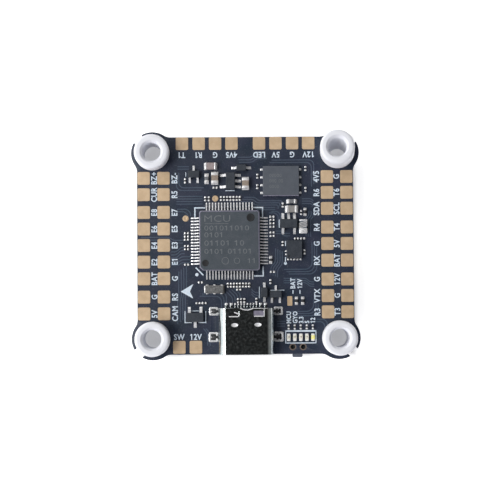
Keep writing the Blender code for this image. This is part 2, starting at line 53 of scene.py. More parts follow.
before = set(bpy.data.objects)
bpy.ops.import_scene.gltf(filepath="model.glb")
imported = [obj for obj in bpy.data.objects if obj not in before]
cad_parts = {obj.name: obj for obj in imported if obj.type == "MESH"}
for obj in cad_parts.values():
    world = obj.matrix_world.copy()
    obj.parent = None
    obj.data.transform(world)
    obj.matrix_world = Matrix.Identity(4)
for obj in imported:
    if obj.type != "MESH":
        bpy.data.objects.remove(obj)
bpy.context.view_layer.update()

MM = 0.001


def box_mm(node):
    low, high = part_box(node)
    return low / MM, high / MM


def middle(node):
    low, high = box_mm(node)
    return (low + high) / 2


# Sizes that several pieces share.
BOARD_BOTTOM = box_mm("circuit_board")[0].z
BOARD_TOP = box_mm("circuit_board")[1].z
HOLE_OFFSET = middle("grommet_rear_right").x
BOARD_HALF_X = 17.775
BOARD_HALF_Y = 17.85
EAR_RADIUS = 3.5
EAR_FILLET = 2.0
HOLE_RADIUS = 2.0
HOLE_SLOT = 1.75
PLATING = 0.04
STAND_OFF = 0.05
LEAD_THICKNESS = 0.14
USB_LUGS = ((5.3, -10.78, 0.8, 0.7), (5.36, -15.0, 0.85, 0.95))
PEG_RADIUS = 0.38
PEG_Y = -16.7
PEG_PITCH = 1.7


# Shapes.


def moved(bm, matrix):
    bmesh.ops.transform(bm, matrix=matrix, verts=bm.verts[:])


def face_outwards(bm):
    bmesh.ops.recalc_face_normals(bm, faces=bm.faces[:])


def soften(bm, edges, width, segments=2):
    """Rounds the given edges."""
    if width > 0 and edges:
        bmesh.ops.bevel(
            bm,
            geom=edges,
            offset=width,
            offset_type="OFFSET",
            segments=segments,
            profile=0.5,
            affect="EDGES",
            clamp_overlap=True,
            material=-1,
        )


def sharp_edges(bm, angle=40):
    limit = math.radians(angle)
    return [e for e in bm.edges if e.is_manifold and e.calc_face_angle(0) > limit]


def block(size, rounding=0.0, segments=2, centre=(0, 0, 0)):
    bm = bmesh.new()
    shape = Matrix.Translation(centre) @ Matrix.Diagonal((*size, 1.0))
    bmesh.ops.create_cube(bm, size=1.0, matrix=shape)
    soften(bm, bm.edges[:], rounding, segments)
    return bm


def drum(radius, low, high, steps=24):
    bm = bmesh.new()
    bmesh.ops.create_cone(
        bm,
        cap_ends=True,
        segments=steps,
        radius1=radius,
        radius2=radius,
        depth=high - low,
        matrix=Matrix.Translation((0, 0, (low + high) / 2)),
    )
    return bm


def dome(size, centre, steps=24):
    bm = bmesh.new()
    shape = Matrix.Translation(centre) @ Matrix.Diagonal((*size, 1.0))
    bmesh.ops.create_uvsphere(bm, u_segments=steps, v_segments=steps // 2, radius=0.5, matrix=shape)
    return bm


def extruded(bm, faces, travel):
    grown = bmesh.ops.extrude_face_region(bm, geom=faces)["geom"]
    top = [item for item in grown if isinstance(item, bmesh.types.BMVert)]
    bmesh.ops.translate(bm, vec=travel, verts=top)
    face_outwards(bm)


def prism(outline, low, high, turn=None):
    """An outline of (x, y) raised from low to high."""
    bm = bmesh.new()
    base = bm.faces.new([bm.verts.new((x, y, low)) for x, y in outline])
    extruded(bm, [base], (0, 0, high - low))
    if turn is not None:
        moved(bm, turn)
        face_outwards(bm)
    return bm


def pierced_plate(loops, low, high):
    """A plate with the first loop as its edge and the others as holes."""
    bm = bmesh.new()
    edges = []
    for loop in loops:
        verts = [bm.verts.new((x, y, low)) for x, y in loop]
        edges += [bm.edges.new(pair) for pair in zip(verts, verts[1:] + verts[:1])]
    bmesh.ops.triangle_fill(bm, use_beauty=True, use_dissolve=False, edges=edges)
    extruded(bm, bm.faces[:], (0, 0, high - low))
    return bm


def turned(profile, steps=48):
    """A closed profile of (radius, height) spun round the Z axis."""
    bm = bmesh.new()
    verts = [bm.verts.new((radius, 0, height)) for radius, height in profile]
    edges = [bm.edges.new(pair) for pair in zip(verts, verts[1:] + verts[:1])]
    bmesh.ops.spin(
        bm,
        geom=verts + edges,
        cent=(0, 0, 0),
        axis=(0, 0, 1),
        angle=2 * math.pi,
        steps=steps,
        use_merge=True,
    )
    return bm


def swept(section, frames):
    """A section face carried through a list of frames."""
    bm = bmesh.new()
    face = bm.faces.new([bm.verts.new(frames[0] @ Vector((0, x, z))) for x, z in section])
    for before, after in zip(frames, frames[1:]):
        grown = bmesh.ops.extrude_face_region(bm, geom=[face])["geom"]
        face = next(item for item in grown if isinstance(item, bmesh.types.BMFace))
        bmesh.ops.transform(bm, matrix=after @ before.inverted(), verts=face.verts)
    face_outwards(bm)
    return bm


def ribbon(path, width, low, high):
    """A flat strip along a path of (x, y), mitred at its bends."""
    frames = []
    for i, here in enumerate(path):
        before, after = path[max(i - 1, 0)], path[min(i + 1, len(path) - 1)]
        back = (Vector(here) - Vector(before)).normalized()
        ahead = (Vector(after) - Vector(here)).normalized()
        along = (back + ahead).normalized()
        stretch = 1 / max(0.3, along.dot(back), along.dot(ahead))
        spin = Matrix.Rotation(math.atan2(along.y, along.x), 4, "Z")
        frames.append(Matrix.Translation((*here, 0)) @ spin @ Matrix.Diagonal((1, stretch, 1, 1)))
    half = width / 2
    return swept([(-half, low), (half, low), (half, high), (-half, high)], frames)


def arc(x, y, radius, start, end, steps):
    """Points of an arc, both ends included, with angles in degrees."""
    angles = [math.radians(start + (end - start) * i / steps) for i in range(steps + 1)]
    return [(x + radius * math.cos(a), y + radius * math.sin(a)) for a in angles]


def rounded_rectangle(width, height, radius, steps=6, x=0.0, y=0.0):
    out, up = width / 2 - radius, height / 2 - radius
    points = []
    for turn, (side, end) in enumerate(((1, 1), (-1, 1), (-1, -1), (1, -1))):
        points += arc(x + side * out, y + end * up, radius, 90 * turn, 90 * turn + 90, steps)
    return points


def rounded_path(corners, radius, steps=4):
    """A path through corners, with each bend eased by a curve."""
    points = [Vector(corners[0])]
    for before, corner, after in zip(corners, corners[1:], corners[2:]):
        before, corner, after = Vector(before), Vector(corner), Vector(after)
        ease = min(radius, (corner - before).length / 2, (after - corner).length / 2)
        start = corner + (before - corner).normalized() * ease
        end = corner + (after - corner).normalized() * ease
        for i in range(steps + 1):
            t = i / steps
            points.append(start * (1 - t) ** 2 + corner * 2 * t * (1 - t) + end * t**2)
    return points + [Vector(corners[-1])]


def add(bm, part, place=None, material=None):
    """Puts a finished shape into a piece's mesh."""
    if place is not None:
        moved(part, place)
    if material is not None:
        for face in part.faces:
            face.material_index = material
    carrier = bpy.data.meshes.new("carrier")
    part.to_mesh(carrier)
    part.free()
    bm.from_mesh(carrier)
    bpy.data.meshes.remove(carrier)


def at(x, y, z=0.0, turn=0.0):
    return Matrix.Translation((x, y, z)) @ Matrix.Rotation(math.radians(turn), 4, "Z")


def across_y(y=0.0, height=0.0):
    """Stands an outline of (X, Z) up, so that it is raised along +Y from the given place."""
    return Matrix(((1, 0, 0, 0), (0, 0, 1, y), (0, 1, 0, height), (0, 0, 0, 1)))


def add_block(bm, material, size, centre, rounding, segments=2):
    add(bm, block(size, rounding, segments, centre), material=material)


def temporary(name, bm):
    mesh = bpy.data.meshes.new(name)
    bm.to_mesh(mesh)
    bm.free()
    obj = bpy.data.objects.new(name, mesh)
    bpy.context.scene.collection.objects.link(obj)
    return obj


def evaluated(obj):
    """The shape that an object's modifiers or text make."""
    graph = bpy.context.evaluated_depsgraph_get()
    mesh = bpy.data.meshes.new_from_object(obj.evaluated_get(graph))
    bm = bmesh.new()
    bm.from_mesh(mesh)
    bpy.data.meshes.remove(mesh)
    return bm


def carved(bm, tool_bm):
    """The shape with the tool cut out of it."""
    for part in (bm, tool_bm):
        face_outwards(part)
    body, tool = temporary("body", bm), temporary("tool", tool_bm)
    cut = body.modifiers.new("Cut", "BOOLEAN")
    cut.operation = "DIFFERENCE"
    cut.object = tool
    result = evaluated(body)
    for obj in (body, tool):
        bpy.data.meshes.remove(obj.data)
    return result


def ones_in(text, bm, height):
    """The top left corner of each figure one, found as the only narrow upright mark of its height."""
    if "1" not in text:
        return []
    corners, seen = [], set()
    for start in bm.verts:
        if start in seen:
            continue
        island, front = {start}, [start]
        while front:
            vert = front.pop()
            for edge in vert.link_edges:
                other = edge.other_vert(vert)
                if other not in island:
                    island.add(other)
                    front.append(other)
        seen |= island
        xs, ys = [v.co.x for v in island], [v.co.y for v in island]
        if max(xs) - min(xs) < 0.35 * height and max(ys) - min(ys) > 0.8 * height:
            corners.append((min(xs), max(ys)))
    return corners


def lettering(text, height, weight=0.032, thickness=0.03, slimness=0.85):
    """Raised letters centred on the origin, reading along +X."""
    curve = bpy.data.curves.new("lettering", "FONT")
    curve.body = text
    curve.size = height / 0.72
    curve.space_character = 1.08
    curve.extrude = thickness / 2
    curve.offset = weight
    curve.resolution_u = 3
    obj = bpy.data.objects.new("lettering", curve)
    bpy.context.scene.collection.objects.link(obj)
    bm = evaluated(obj)
    bpy.data.curves.remove(curve)
    for left, top in ones_in(text, bm, height):
        flag = ribbon([(left + 0.02, top - 0.07), (left - 0.2 * height, top - 0.27 * height)],
                      0.15 * height, -thickness / 2, thickness * 0.4)
        add(bm, flag)
    bmesh.ops.remove_doubles(bm, verts=bm.verts[:], dist=1e-5)
    xs, ys = [v.co.x for v in bm.verts], [v.co.y for v in bm.verts]
    centre = Vector(((min(xs) + max(xs)) / 2, (min(ys) + max(ys)) / 2, -thickness / 2))
    bmesh.ops.translate(bm, vec=-centre, verts=bm.verts[:])
    bmesh.ops.scale(bm, vec=(slimness, 1, 1), verts=bm.verts[:])
    return bm


def smoothed_copy(node, width, segments=2):
    """A copy of a CAD node's solid with its loose triangles merged and its edges softened."""
    bm = bmesh.new()
    bm.from_mesh(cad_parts[node].data)
    bmesh.ops.scale(bm, vec=(1 / MM, 1 / MM, 1 / MM), verts=bm.verts[:])
    bmesh.ops.remove_doubles(bm, verts=bm.verts[:], dist=1e-3)
    bmesh.ops.dissolve_limit(
        bm, angle_limit=math.radians(2), verts=bm.verts[:], edges=bm.edges[:]
    )
    soften(bm, sharp_edges(bm), width, segments)
    return bm


def make_piece(name, bm, finishes, body="board", replaces=(), angle=35, place=None):
    """Turns a finished shape into a piece that rides on a body. Its finishes are given by name."""
    if place is not None:
        moved(bm, place)
    bmesh.ops.scale(bm, vec=(MM, MM, MM), verts=bm.verts[:])
    mesh = bpy.data.meshes.new(name)
    bm.to_mesh(mesh)
    bm.free()
    mesh.shade_smooth()
    mesh.set_sharp_from_angle(angle=math.radians(angle))
    for label in finishes:
        mesh.materials.append(finish(label))
    obj = bpy.data.objects.new(name, mesh)
    bpy.context.scene.collection.objects.link(obj)
    even = obj.modifiers.new("Even Shading", "WEIGHTED_NORMAL")
    even.keep_sharp = True
    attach(obj, body)
    if replaces:
        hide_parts(*replaces)
    return obj


# Shader nodes, and the groups that every finish uses.


def give(tree, socket, value):
    """Sets an input, or links it when the value is another node's socket."""
    if isinstance(value, bpy.types.NodeSocket):
        tree.links.new(value, socket)
    else:
        socket.default_value = value


def feed(tree, node, **values):
    for label, value in values.items():
        give(tree, node.inputs[label.replace("_", " ")], value)
    return node


def coordinates(tree, kind="Object"):
    return tree.nodes.new("ShaderNodeTexCoord").outputs[kind]


def noise(tree, detail, scale):
    node = tree.nodes.new("ShaderNodeTexNoise")
    return feed(tree, node, Vector=coordinates(tree), Scale=scale, Detail=detail).outputs["Fac"]


def ranged(tree, value, low, high, **limits):
    node = tree.nodes.new("ShaderNodeMapRange")
    return feed(tree, node, Value=value, From_Min=low, From_Max=high, **limits).outputs["Result"]


def split_axes(tree, vector):
    return feed(tree, tree.nodes.new("ShaderNodeSeparateXYZ"), Vector=vector).outputs


def combined(tree, kind, operation, *values):
    """The result of a Math or Vector Math node."""
    node = tree.nodes.new(kind)
    node.operation = operation
    for socket, value in zip(node.inputs, values):
        give(tree, socket, value)
    return node.outputs[0]


def mixed(tree, factor, first, second, blend="MIX", clamp=True):
    node = tree.nodes.new("ShaderNodeMix")
    node.data_type = "RGBA"
    node.blend_type = blend
    node.clamp_factor = clamp
    return feed(tree, node, Factor=factor, A=first, B=second).outputs["Result"]


def new_group(name, inputs, output, output_type):
    """An empty shader group. inputs are (name, socket type, default)."""
    group = bpy.data.node_groups.new(name, "ShaderNodeTree")
    for label, kind, default in inputs:
        socket = group.interface.new_socket(name=label, in_out="INPUT", socket_type=kind)
        socket.default_value = default
    group.interface.new_socket(name=output, in_out="OUTPUT", socket_type=output_type)
    return group, group.nodes.new("NodeGroupInput").outputs, group.nodes.new("NodeGroupOutput")


# How many specks, and how many changes of roughness, there are to one patch of colour.
SPECKS_PER_PATCH = 12.0
WEAR_PER_PATCH = 1.7


def mottling_group():
    """Two colours that drift into each other in soft patches, with fine speckle on top."""
    inputs = [
        ("First Color", "NodeSocketColor", (0.5, 0.5, 0.5, 1)),
        ("Second Color", "NodeSocketColor", (0.6, 0.6, 0.6, 1)),
        ("Patches per Metre", "NodeSocketFloat", 300.0),
        ("Speckle", "NodeSocketFloat", 0.1),
    ]
    group, entry, leave = new_group("Mottling", inputs, "Color", "NodeSocketColor")
    scale = entry["Patches per Metre"]
    patches = ranged(group, noise(group, 3, scale), 0.35, 0.65)
    base = mixed(group, patches, entry["First Color"], entry["Second Color"])
    finer = combined(group, "ShaderNodeMath", "MULTIPLY", scale, SPECKS_PER_PATCH)
    specks = ranged(group, noise(group, 2, finer), 0.58, 0.72)
    strength = combined(group, "ShaderNodeMath", "MULTIPLY", specks, entry["Speckle"])
    feed(group, leave, Color=mixed(group, strength, base, (1, 1, 1, 1), "SCREEN"))


def grain_group():
    """The height of a fine moulded or plated grain."""
    inputs = [("Grains per Metre", "NodeSocketFloat", 9000.0)]
    group, entry, leave = new_group("Fine Grain", inputs, "Height", "NodeSocketFloat")
    feed(group, leave, Height=noise(group, 4, entry["Grains per Metre"]))


def handling_group():
    """A roughness that goes up and down as handling and flux leave it."""
    inputs = [
        ("Clean", "NodeSocketFloat", 0.3),
        ("Dull", "NodeSocketFloat", 0.5),
        ("Patches per Metre", "NodeSocketFloat", 900.0),
    ]
    group, entry, leave = new_group("Handling", inputs, "Roughness", "NodeSocketFloat")
    patches = noise(group, 5, entry["Patches per Metre"])
    roughness = ranged(group, patches, 0.3, 0.7, To_Min=entry["Clean"], To_Max=entry["Dull"])
    feed(group, leave, Roughness=roughness)


GROUPS = {"Mottling": mottling_group, "Fine Grain": grain_group, "Handling": handling_group}


def placed_group(tree, name, **values):
    """The output of a shared group, which is made the first time that it is asked for."""
    if name not in bpy.data.node_groups:
        GROUPS[name]()
    node = tree.nodes.new("ShaderNodeGroup")
    node.node_tree = bpy.data.node_groups[name]
    return feed(tree, node, **values).outputs[0]


# Finishes: first colour, second colour, patches per metre, speckle, clean and dull roughness,
# metallic, grains per metre, bump strength, bump height in metres.
FINISHES = {
    "solder mask": (
        (0.009, 0.020, 0.041), (0.019, 0.026, 0.054), 420, 0.04, 0.36, 0.5, 0, 2500, 0.25, 2e-5
    ),
    "mask over copper": (
        (0.052, 0.08, 0.118), (0.068, 0.088, 0.135), 600, 0.03, 0.33, 0.45, 0, 4000, 0.2, 1e-5
    ),
    "laminate": ((0.12, 0.112, 0.085), (0.06, 0.06, 0.05), 7000, 0.05, 0.6, 0.8, 0, 9000, 0.5, 3e-5),
    "plated slot": ((0.13, 0.1, 0.085), (0.19, 0.15, 0.125), 2600, 0.1, 0.5, 0.7, 0.2, 9000, 0.4, 2e-5),
    "printed ink": ((0.62, 0.74, 0.86), (0.76, 0.84, 0.93), 2500, 0.0, 0.5, 0.7, 0, 20000, 0.3, 1e-5),
    "gold plating": (
        (0.58, 0.42, 0.262), (0.66, 0.49, 0.315), 900, 0.12, 0.42, 0.6, 0.3, 9000, 0.35, 1.5e-5
    ),
    "solder": ((0.8, 0.81, 0.83), (0.92, 0.92, 0.93), 2500, 0.1, 0.2, 0.42, 0.45, 7000, 0.5, 2e-5),
    "tinned metal": ((0.78, 0.78, 0.8), (0.9, 0.89, 0.88), 1500, 0.1, 0.25, 0.45, 0.5, 12000, 0.35, 1e-5),
    "lead tin": ((0.76, 0.77, 0.8), (0.88, 0.88, 0.89), 1500, 0.1, 0.25, 0.4, 0.35, 12000, 0.35, 1e-5),
    "shell steel": ((0.46, 0.52, 0.53), (0.58, 0.62, 0.62), 1400, 0.16, 0.10, 0.22, 1.0, 5000, 0.2, 1e-5),
    # Near-black steel, painted shade for the lugs in their slots.
    "painted shade lug steel": ((0.03, 0.032, 0.036), (0.05, 0.052, 0.056), 1500, 0.1, 0.3, 0.45, 0.6, 9000, 0.3, 1e-5),
    # A violet-grey copy of steel, a painted reflection on the right window's tab.
    "painted reflection steel": ((0.2, 0.19, 0.26), (0.3, 0.28, 0.36), 1500, 0.1, 0.3, 0.5, 0.3, 9000, 0.3, 1e-5),
    # Pale steel for the painted glints and highlights on the USB shell.
    "painted glint steel": ((0.74, 0.75, 0.78), (0.9, 0.9, 0.9), 1500, 0.1, 0.3, 0.5, 0.25, 9000, 0.3, 1e-5),
    "bright steel": ((0.6, 0.6, 0.6), (0.72, 0.72, 0.71), 1500, 0.1, 0.2, 0.35, 0.7, 9000, 0.3, 1e-5),
    "black moulding": (
        (0.046, 0.06, 0.075), (0.060, 0.073, 0.09), 900, 0.07, 0.45, 0.62, 0, 14000, 0.5, 1.5e-5
    ),
    # Lavender, much lighter than the mouldings it edges: a painted highlight on edges that face the lights,
    # on a glossier finish.
    "painted edge highlight": ((0.22, 0.21, 0.29), (0.3, 0.285, 0.38), 900, 0.1, 0.2, 0.34, 0, 14000, 0.3, 1e-5),
    "small moulding": (
        (0.021, 0.028, 0.04), (0.031, 0.039, 0.053), 900, 0.05, 0.4, 0.6, 0, 14000, 0.5, 1.5e-5
    ),
    "memory moulding": (
        (0.078, 0.09, 0.112), (0.09, 0.103, 0.126), 700, 0.03, 0.4, 0.55, 0, 14000, 0.5, 1.5e-5
    ),
    "laser mark": ((0.12, 0.135, 0.15), (0.16, 0.175, 0.19), 3000, 0.05, 0.6, 0.8, 0, 20000, 0.4, 1e-5),
    "dimple": ((0.004, 0.005, 0.007), (0.008, 0.009, 0.012), 2500, 0.03, 0.4, 0.6, 0, 20000, 0.3, 1e-5),
    "brown ceramic": (
        (0.25, 0.2, 0.165), (0.33, 0.265, 0.215), 2600, 0.08, 0.45, 0.65, 0, 15000, 0.4, 1e-5
    ),
    "rose ceramic": ((0.29, 0.235, 0.23), (0.36, 0.3, 0.3), 2600, 0.08, 0.45, 0.65, 0, 15000, 0.4, 1e-5),
    "beige ceramic": (
        (0.23, 0.225, 0.22), (0.29, 0.275, 0.265), 2600, 0.08, 0.45, 0.65, 0, 15000, 0.4, 1e-5
    ),
    "grey ceramic": ((0.13, 0.14, 0.155), (0.2, 0.205, 0.22), 3200, 0.15, 0.4, 0.6, 0, 12000, 0.4, 1e-5),
    "blue grey ceramic": (
        (0.11, 0.135, 0.17), (0.16, 0.185, 0.22), 1600, 0.05, 0.4, 0.6, 0, 12000, 0.4, 1e-5
    ),
    "black ceramic": (
        (0.02, 0.022, 0.026), (0.03, 0.031, 0.035), 2000, 0.05, 0.4, 0.6, 0, 12000, 0.3, 1e-5
    ),
    "pale resin": ((0.7, 0.74, 0.58), (0.93, 0.86, 0.79), 3500, 0.1, 0.25, 0.4, 0, 9000, 0.2, 1e-5),
    "yellow phosphor": ((0.9, 0.82, 0.2), (0.98, 0.93, 0.42), 3500, 0.05, 0.3, 0.45, 0, 9000, 0.2, 1e-5),
    "lamp base": ((0.9, 0.9, 0.87), (0.97, 0.96, 0.93), 3500, 0.05, 0.4, 0.6, 0, 9000, 0.2, 1e-5),
    "grey plastic": ((0.11, 0.125, 0.17), (0.15, 0.17, 0.22), 1500, 0.04, 0.4, 0.6, 0, 12000, 0.4, 1e-5),
    "cream plastic": ((0.66, 0.62, 0.53), (0.72, 0.68, 0.6), 900, 0.03, 0.4, 0.55, 0, 12000, 0.4, 1e-5),
    "ferrite": ((0.06, 0.062, 0.066), (0.09, 0.09, 0.092), 1800, 0.12, 0.5, 0.75, 0, 6000, 0.7, 3e-5),
    "enamelled wire": ((0.5, 0.5, 0.52), (0.64, 0.63, 0.62), 2000, 0.1, 0.25, 0.4, 0.4, 12000, 0.3, 1e-5),
    "resonator lid": ((0.09, 0.095, 0.1), (0.2, 0.2, 0.2), 3600, 0.25, 0.35, 0.55, 0.3, 8000, 0.5, 2e-5),
}


def finish(name, row=None):
    """The material of a finish, made the first time that it is asked for."""
    if name in bpy.data.materials:
        return bpy.data.materials[name]
    first, second, patches, speckle, clean, dull, metallic, grains, bump, height = row or FINISHES[name]
    material = bpy.data.materials.new(name)
    material.use_nodes = True
    material.diffuse_color = (*first, 1)
    tree = material.node_tree
    colour = placed_group(
        tree, "Mottling", First_Color=(*first, 1), Second_Color=(*second, 1),
        Patches_per_Metre=patches, Speckle=speckle,
    )
    wear = patches * WEAR_PER_PATCH
    roughness = placed_group(tree, "Handling", Clean=clean, Dull=dull, Patches_per_Metre=wear)
    grain = placed_group(tree, "Fine Grain", Grains_per_Metre=grains)
    relief = feed(
        tree, tree.nodes.new("ShaderNodeBump"), Strength=bump, Distance=height, Height=grain
    )
    feed(
        tree, tree.nodes["Principled BSDF"], Base_Color=colour, Metallic=metallic,
        Roughness=roughness, Normal=relief.outputs["Normal"],
    )
    return material


def tinted_finish(name, tint, contrast, *rest):
    """A finish whose colour is a setting. Its second colour is the first one times the contrast."""
    second = [min(1.0, part * contrast) for part in tint]
    return finish(name, (tint, second, *rest)).node_tree


def make_silicone():
    """White silicone that lets a little light through, unless the frame brings its own."""
    if "silicone" in bpy.data.materials:
        return
    settings = bpy.context.scene.board_mounts
    tree = tinted_finish(
        "silicone", settings.tint, 1.05, 500, 0.02, 0.34, 0.5, 0, 5000, 0.25, 2e-5
    )
    # The faint bluish emission is a painted glow; the subsurface light is real.
    feed(
        tree, tree.nodes["Principled BSDF"],
        Emission_Color=(0.85, 0.88, 1.0, 1), Emission_Strength=0.11,
        Subsurface_Weight=settings.softness, Subsurface_Radius=(1.0, 0.95, 1.0),
        Subsurface_Scale=0.003,
    )


# The board.


def ear_corner():
    """The board's edge round the ear at +X +Y, with the slot that opens its hole."""
    reach = EAR_RADIUS + EAR_FILLET
    out_x, out_y = BOARD_HALF_X + EAR_FILLET, BOARD_HALF_Y + EAR_FILLET
    back_y = math.sqrt(reach**2 - (out_x - HOLE_OFFSET) ** 2)
    back_x = math.sqrt(reach**2 - (out_y - HOLE_OFFSET) ** 2)
    first = math.degrees(math.atan2(-back_y, out_x - HOLE_OFFSET))
    last = math.degrees(math.atan2(out_y - HOLE_OFFSET, -back_x))
    ear_half = math.degrees(math.asin(HOLE_SLOT / 2 / EAR_RADIUS))
    hole_half = math.degrees(math.asin(HOLE_SLOT / 2 / HOLE_RADIUS))
    home = HOLE_OFFSET
    return (
        arc(out_x, home - back_y, EAR_FILLET, 180, first + 180, 8)[:-1]
        + arc(home, home, EAR_RADIUS, first, 45 - ear_half, 20)
        + arc(home, home, HOLE_RADIUS, 45 - hole_half, hole_half - 315, 40)
        + arc(home, home, EAR_RADIUS, 45 + ear_half, last, 20)
        + arc(home - back_x, out_y, EAR_FILLET, last - 180, -90, 8)[1:]
    )


def board_outline():
    corner = ear_corner()
    return (
        corner
        + [(-x, y) for x, y in reversed(corner)]
        + [(-x, -y) for x, y in corner]
        + [(x, -y) for x, y in reversed(corner)]
    )


def peg_places():
    button_x = middle("button_actuator").x
    return [(button_x + side * PEG_PITCH / 2, PEG_Y) for side in (-1, 1)]


def lug_places():
    return [(side * x, y, width, depth) for x, y, width, depth in USB_LUGS for side in (-1, 1)]


def make_laminate():
    loops = [board_outline()]
    for x, y, width, depth in lug_places():
        loops.append(rounded_rectangle(width, depth, 0.3, 4, x, y))
    for x, y in peg_places():
        loops.append(arc(x, y, PEG_RADIUS, 0, 345, 23))
    bm = pierced_plate(loops, BOARD_BOTTOM, BOARD_TOP)
    soften(bm, sharp_edges(bm, 60), 0.05)
    for face in bm.faces:
        face.material_index = 1 if abs(face.normal.z) < 0.3 else 0
    finishes = ("solder mask", "laminate")
    make_piece("board_laminate", bm, finishes, replaces=["circuit_board"], angle=30)


# Tracks under the mask: corner points of the first track, count, and step to the next one.
TOP_TRACKS = (
    (((-1.2, 14.5), (1.0, 14.5), (1.7, 15.1), (3.4, 15.1)), 3, (0.1, -0.42)),
    (((-11.1, 12.6), (-9.2, 12.6)), 2, (0.0, 0.4)),
    (((-11.3, 11.6), (-11.3, 9.6), (-10.8, 9.1), (-7.2, 9.1)), 2, (0.4, 0.42)),
    (((-11.3, 8.1), (-7.0, 8.1)), 4, (0.0, -0.42)),
    (((-11.2, 6.0), (-9.6, 6.0), (-9.0, 5.4), (-9.0, 4.9)), 2, (-0.4, -0.4)),
    (((-0.2, 7.9), (1.6, 7.9), (2.2, 7.3), (6.0, 7.3), (6.0, 6.7)), 3, (-0.3, -0.35)),
    (((1.9, 6.2), (4.9, 6.2)), 2, (0.0, -0.35)),
    (((9.3, 7.6), (10.8, 7.6), (11.2, 7.2)), 3, (0.0, -0.4)),
    (((3.9, 5.3), (4.9, 5.3), (5.4, 4.8), (5.4, 3.2)), 2, (0.35, 0.25)),
    (((-17.2, 1.4), (-12.6, 1.4), (-11.9, 0.9), (-10.3, 0.9)), 2, (0.0, -0.45)),
    (((-12.2, -1.0), (-11.3, -1.0), (-10.7, -0.3), (-10.0, -0.3)), 3, (0.0, -0.5)),
    (((-12.2, -2.2), (-11.0, -2.2), (-10.5, -1.8), (-9.0, -1.8)), 3, (0.0, -0.5)),
    (((-11.0, -4.2), (-11.0, -8.6), (-11.2, -9.2), (-11.2, -12.8)), 4, (0.42, 0.3)),
    (((-7.6, -8.3), (-4.6, -8.3), (-4.0, -8.9), (-4.0, -10.2)), 3, (0.4, 0.35)),
    (((-3.2, -7.6), (-2.2, -8.6), (-2.2, -9.4)), 4, (0.42, 0.2)),
    (((0.9, -7.2), (1.5, -7.8), (2.3, -7.8)), 3, (0.0, -0.42)),
    (((6.0, -1.0), (6.0, -3.2), (5.2, -4.0), (5.2, -5.3)), 4, (-0.36, 0.15)),
    (((4.9, 1.9), (5.9, 1.9), (6.3, 1.5), (7.3, 1.5)), 2, (0.0, 0.4)),
    (((6.3, -4.0), (10.2, -4.0), (10.9, -3.3), (10.9, 0.4)), 3, (0.38, -0.38)),
    (((6.2, -6.2), (9.9, -6.2), (10.5, -6.8), (11.2, -6.8)), 3, (0.0, 0.36)),
    (((10.7, 1.3), (10.7, 4.2), (11.2, 4.7), (11.2, 5.4)), 3, (-0.38, 0.1)),
    (((7.4, -10.9), (10.4, -10.9), (11.1, -10.2), (11.1, -8.9)), 3, (0.36, -0.36)),
    (((5.1, -12.5), (6.4, -12.5)), 3, (0.0, -0.4)),
    (((-6.6, -13.6), (-5.9, -14.4), (-5.9, -16.4)), 2, (-0.4, 0.0)),
    (((4.0, 13.6), (10.4, 13.6), (10.9, 13.1), (10.9, 9.6)), 2, (0.4, 0.4)),
    (((11.2, -12.6), (12.4, -12.6), (12.9, -13.1), (12.9, -14.2)), 2, (0.4, 0.4)),
)
UNDER_TRACKS = (
    (((-11.8, 15.0), (-9.0, 15.0), (-7.0, 13.0), (-7.0, 11.5)), 5, (-0.5, -0.5)),
    (((14.0, 12.0), (8.0, 12.0), (4.0, 8.5)), 6, (0.0, -0.5)),
    (((5.0, 4.5), (9.0, 4.5), (11.0, 2.5), (12.6, 2.5)), 5, (0.0, -1.0)),
    (((1.0, -2.0), (3.5, -4.5), (3.5, -9.5), (6.0, -12.0)), 5, (0.5, 0.0)),
    (((-16.0, -8.5), (-10.0, -8.5), (-6.5, -12.0), (-6.5, -16.5)), 5, (0.5, 0.5)),
    (((13.0, -6.5), (9.6, -6.5), (8.0, -8.1)), 4, (0.0, -0.5)),
    (((-1.0, 5.0), (-1.0, 3.5), (1.5, 1.0), (2.6, 1.0)), 4, (0.5, 0.3)),
)
TRACK_WIDTH = 0.16


def make_tracks():
    for name, bundles, surface, side in (
        ("top_tracks", TOP_TRACKS, BOARD_TOP, 1),
        ("under_tracks", UNDER_TRACKS, BOARD_BOTTOM, -1),
    ):
        bm = bmesh.new()
        for corners, count, (step_x, step_y) in bundles:
            for i in range(count):
                moved = [(x + i * step_x, y + i * step_y) for x, y in corners]
                path = rounded_path(moved, 0.6)
                add(bm, ribbon(path, TRACK_WIDTH, surface - 0.01 * side, surface + 0.012 * side))
        face_outwards(bm)
        make_piece(name, bm, ("mask over copper",))


# Gold pads and their labels.
PAD_WIDTH = 2.04
PAD_DEPTH = 2.1
TOP_ROW_Y = 16.8
TOP_ROW = (
    (-10.35, "T1"), (-7.6, "R1"), (-4.9, "G"), (-2.2, "4V5"),
    (2.33, "LED"), (5.04, "5V"), (7.77, "G"), (10.43, "12V"),
)
LEFT_COLUMNS = (-16.68, -13.42)
LEFT_ROWS = (
    (11.12, "BZ+", "BZ-"), (8.43, "CUR", "R5"), (5.5, "E8", "E7"), (2.78, "E6", "E5"),
    (0.08, "E4", "E3"), (-2.65, "E2", "E1"), (-5.38, "BAT", "G"), (-8.39, "G", "RS"),
    (-11.14, "5V", "CAM"),
)
RIGHT_COLUMNS = (13.45, 16.65)
RIGHT_ROWS = (
    (11.22, "4V5", "G"), (8.61, "R6", "T6"), (5.98, "SDA", "SCL"), (2.9, "R4", "T4"),
    (0.2, "G", "5V"), (-2.54, "RX", "BAT"), (-5.64, "G", "12V"), (-8.34, "VTX", "G"),
    (-11.01, "R3", "T3"),
)
CORNER_PADS = ((-10.95, "SW"), (-8.24, "12V"))
CORNER_ROW_Y = -16.63
TEST_POINTS = ((-4.93, 7.72), (-9.81, 4.46))
JUMPER_PAD = (7.19, -9.18, 0.81, 1.56)
LABEL_HEIGHT = 0.95


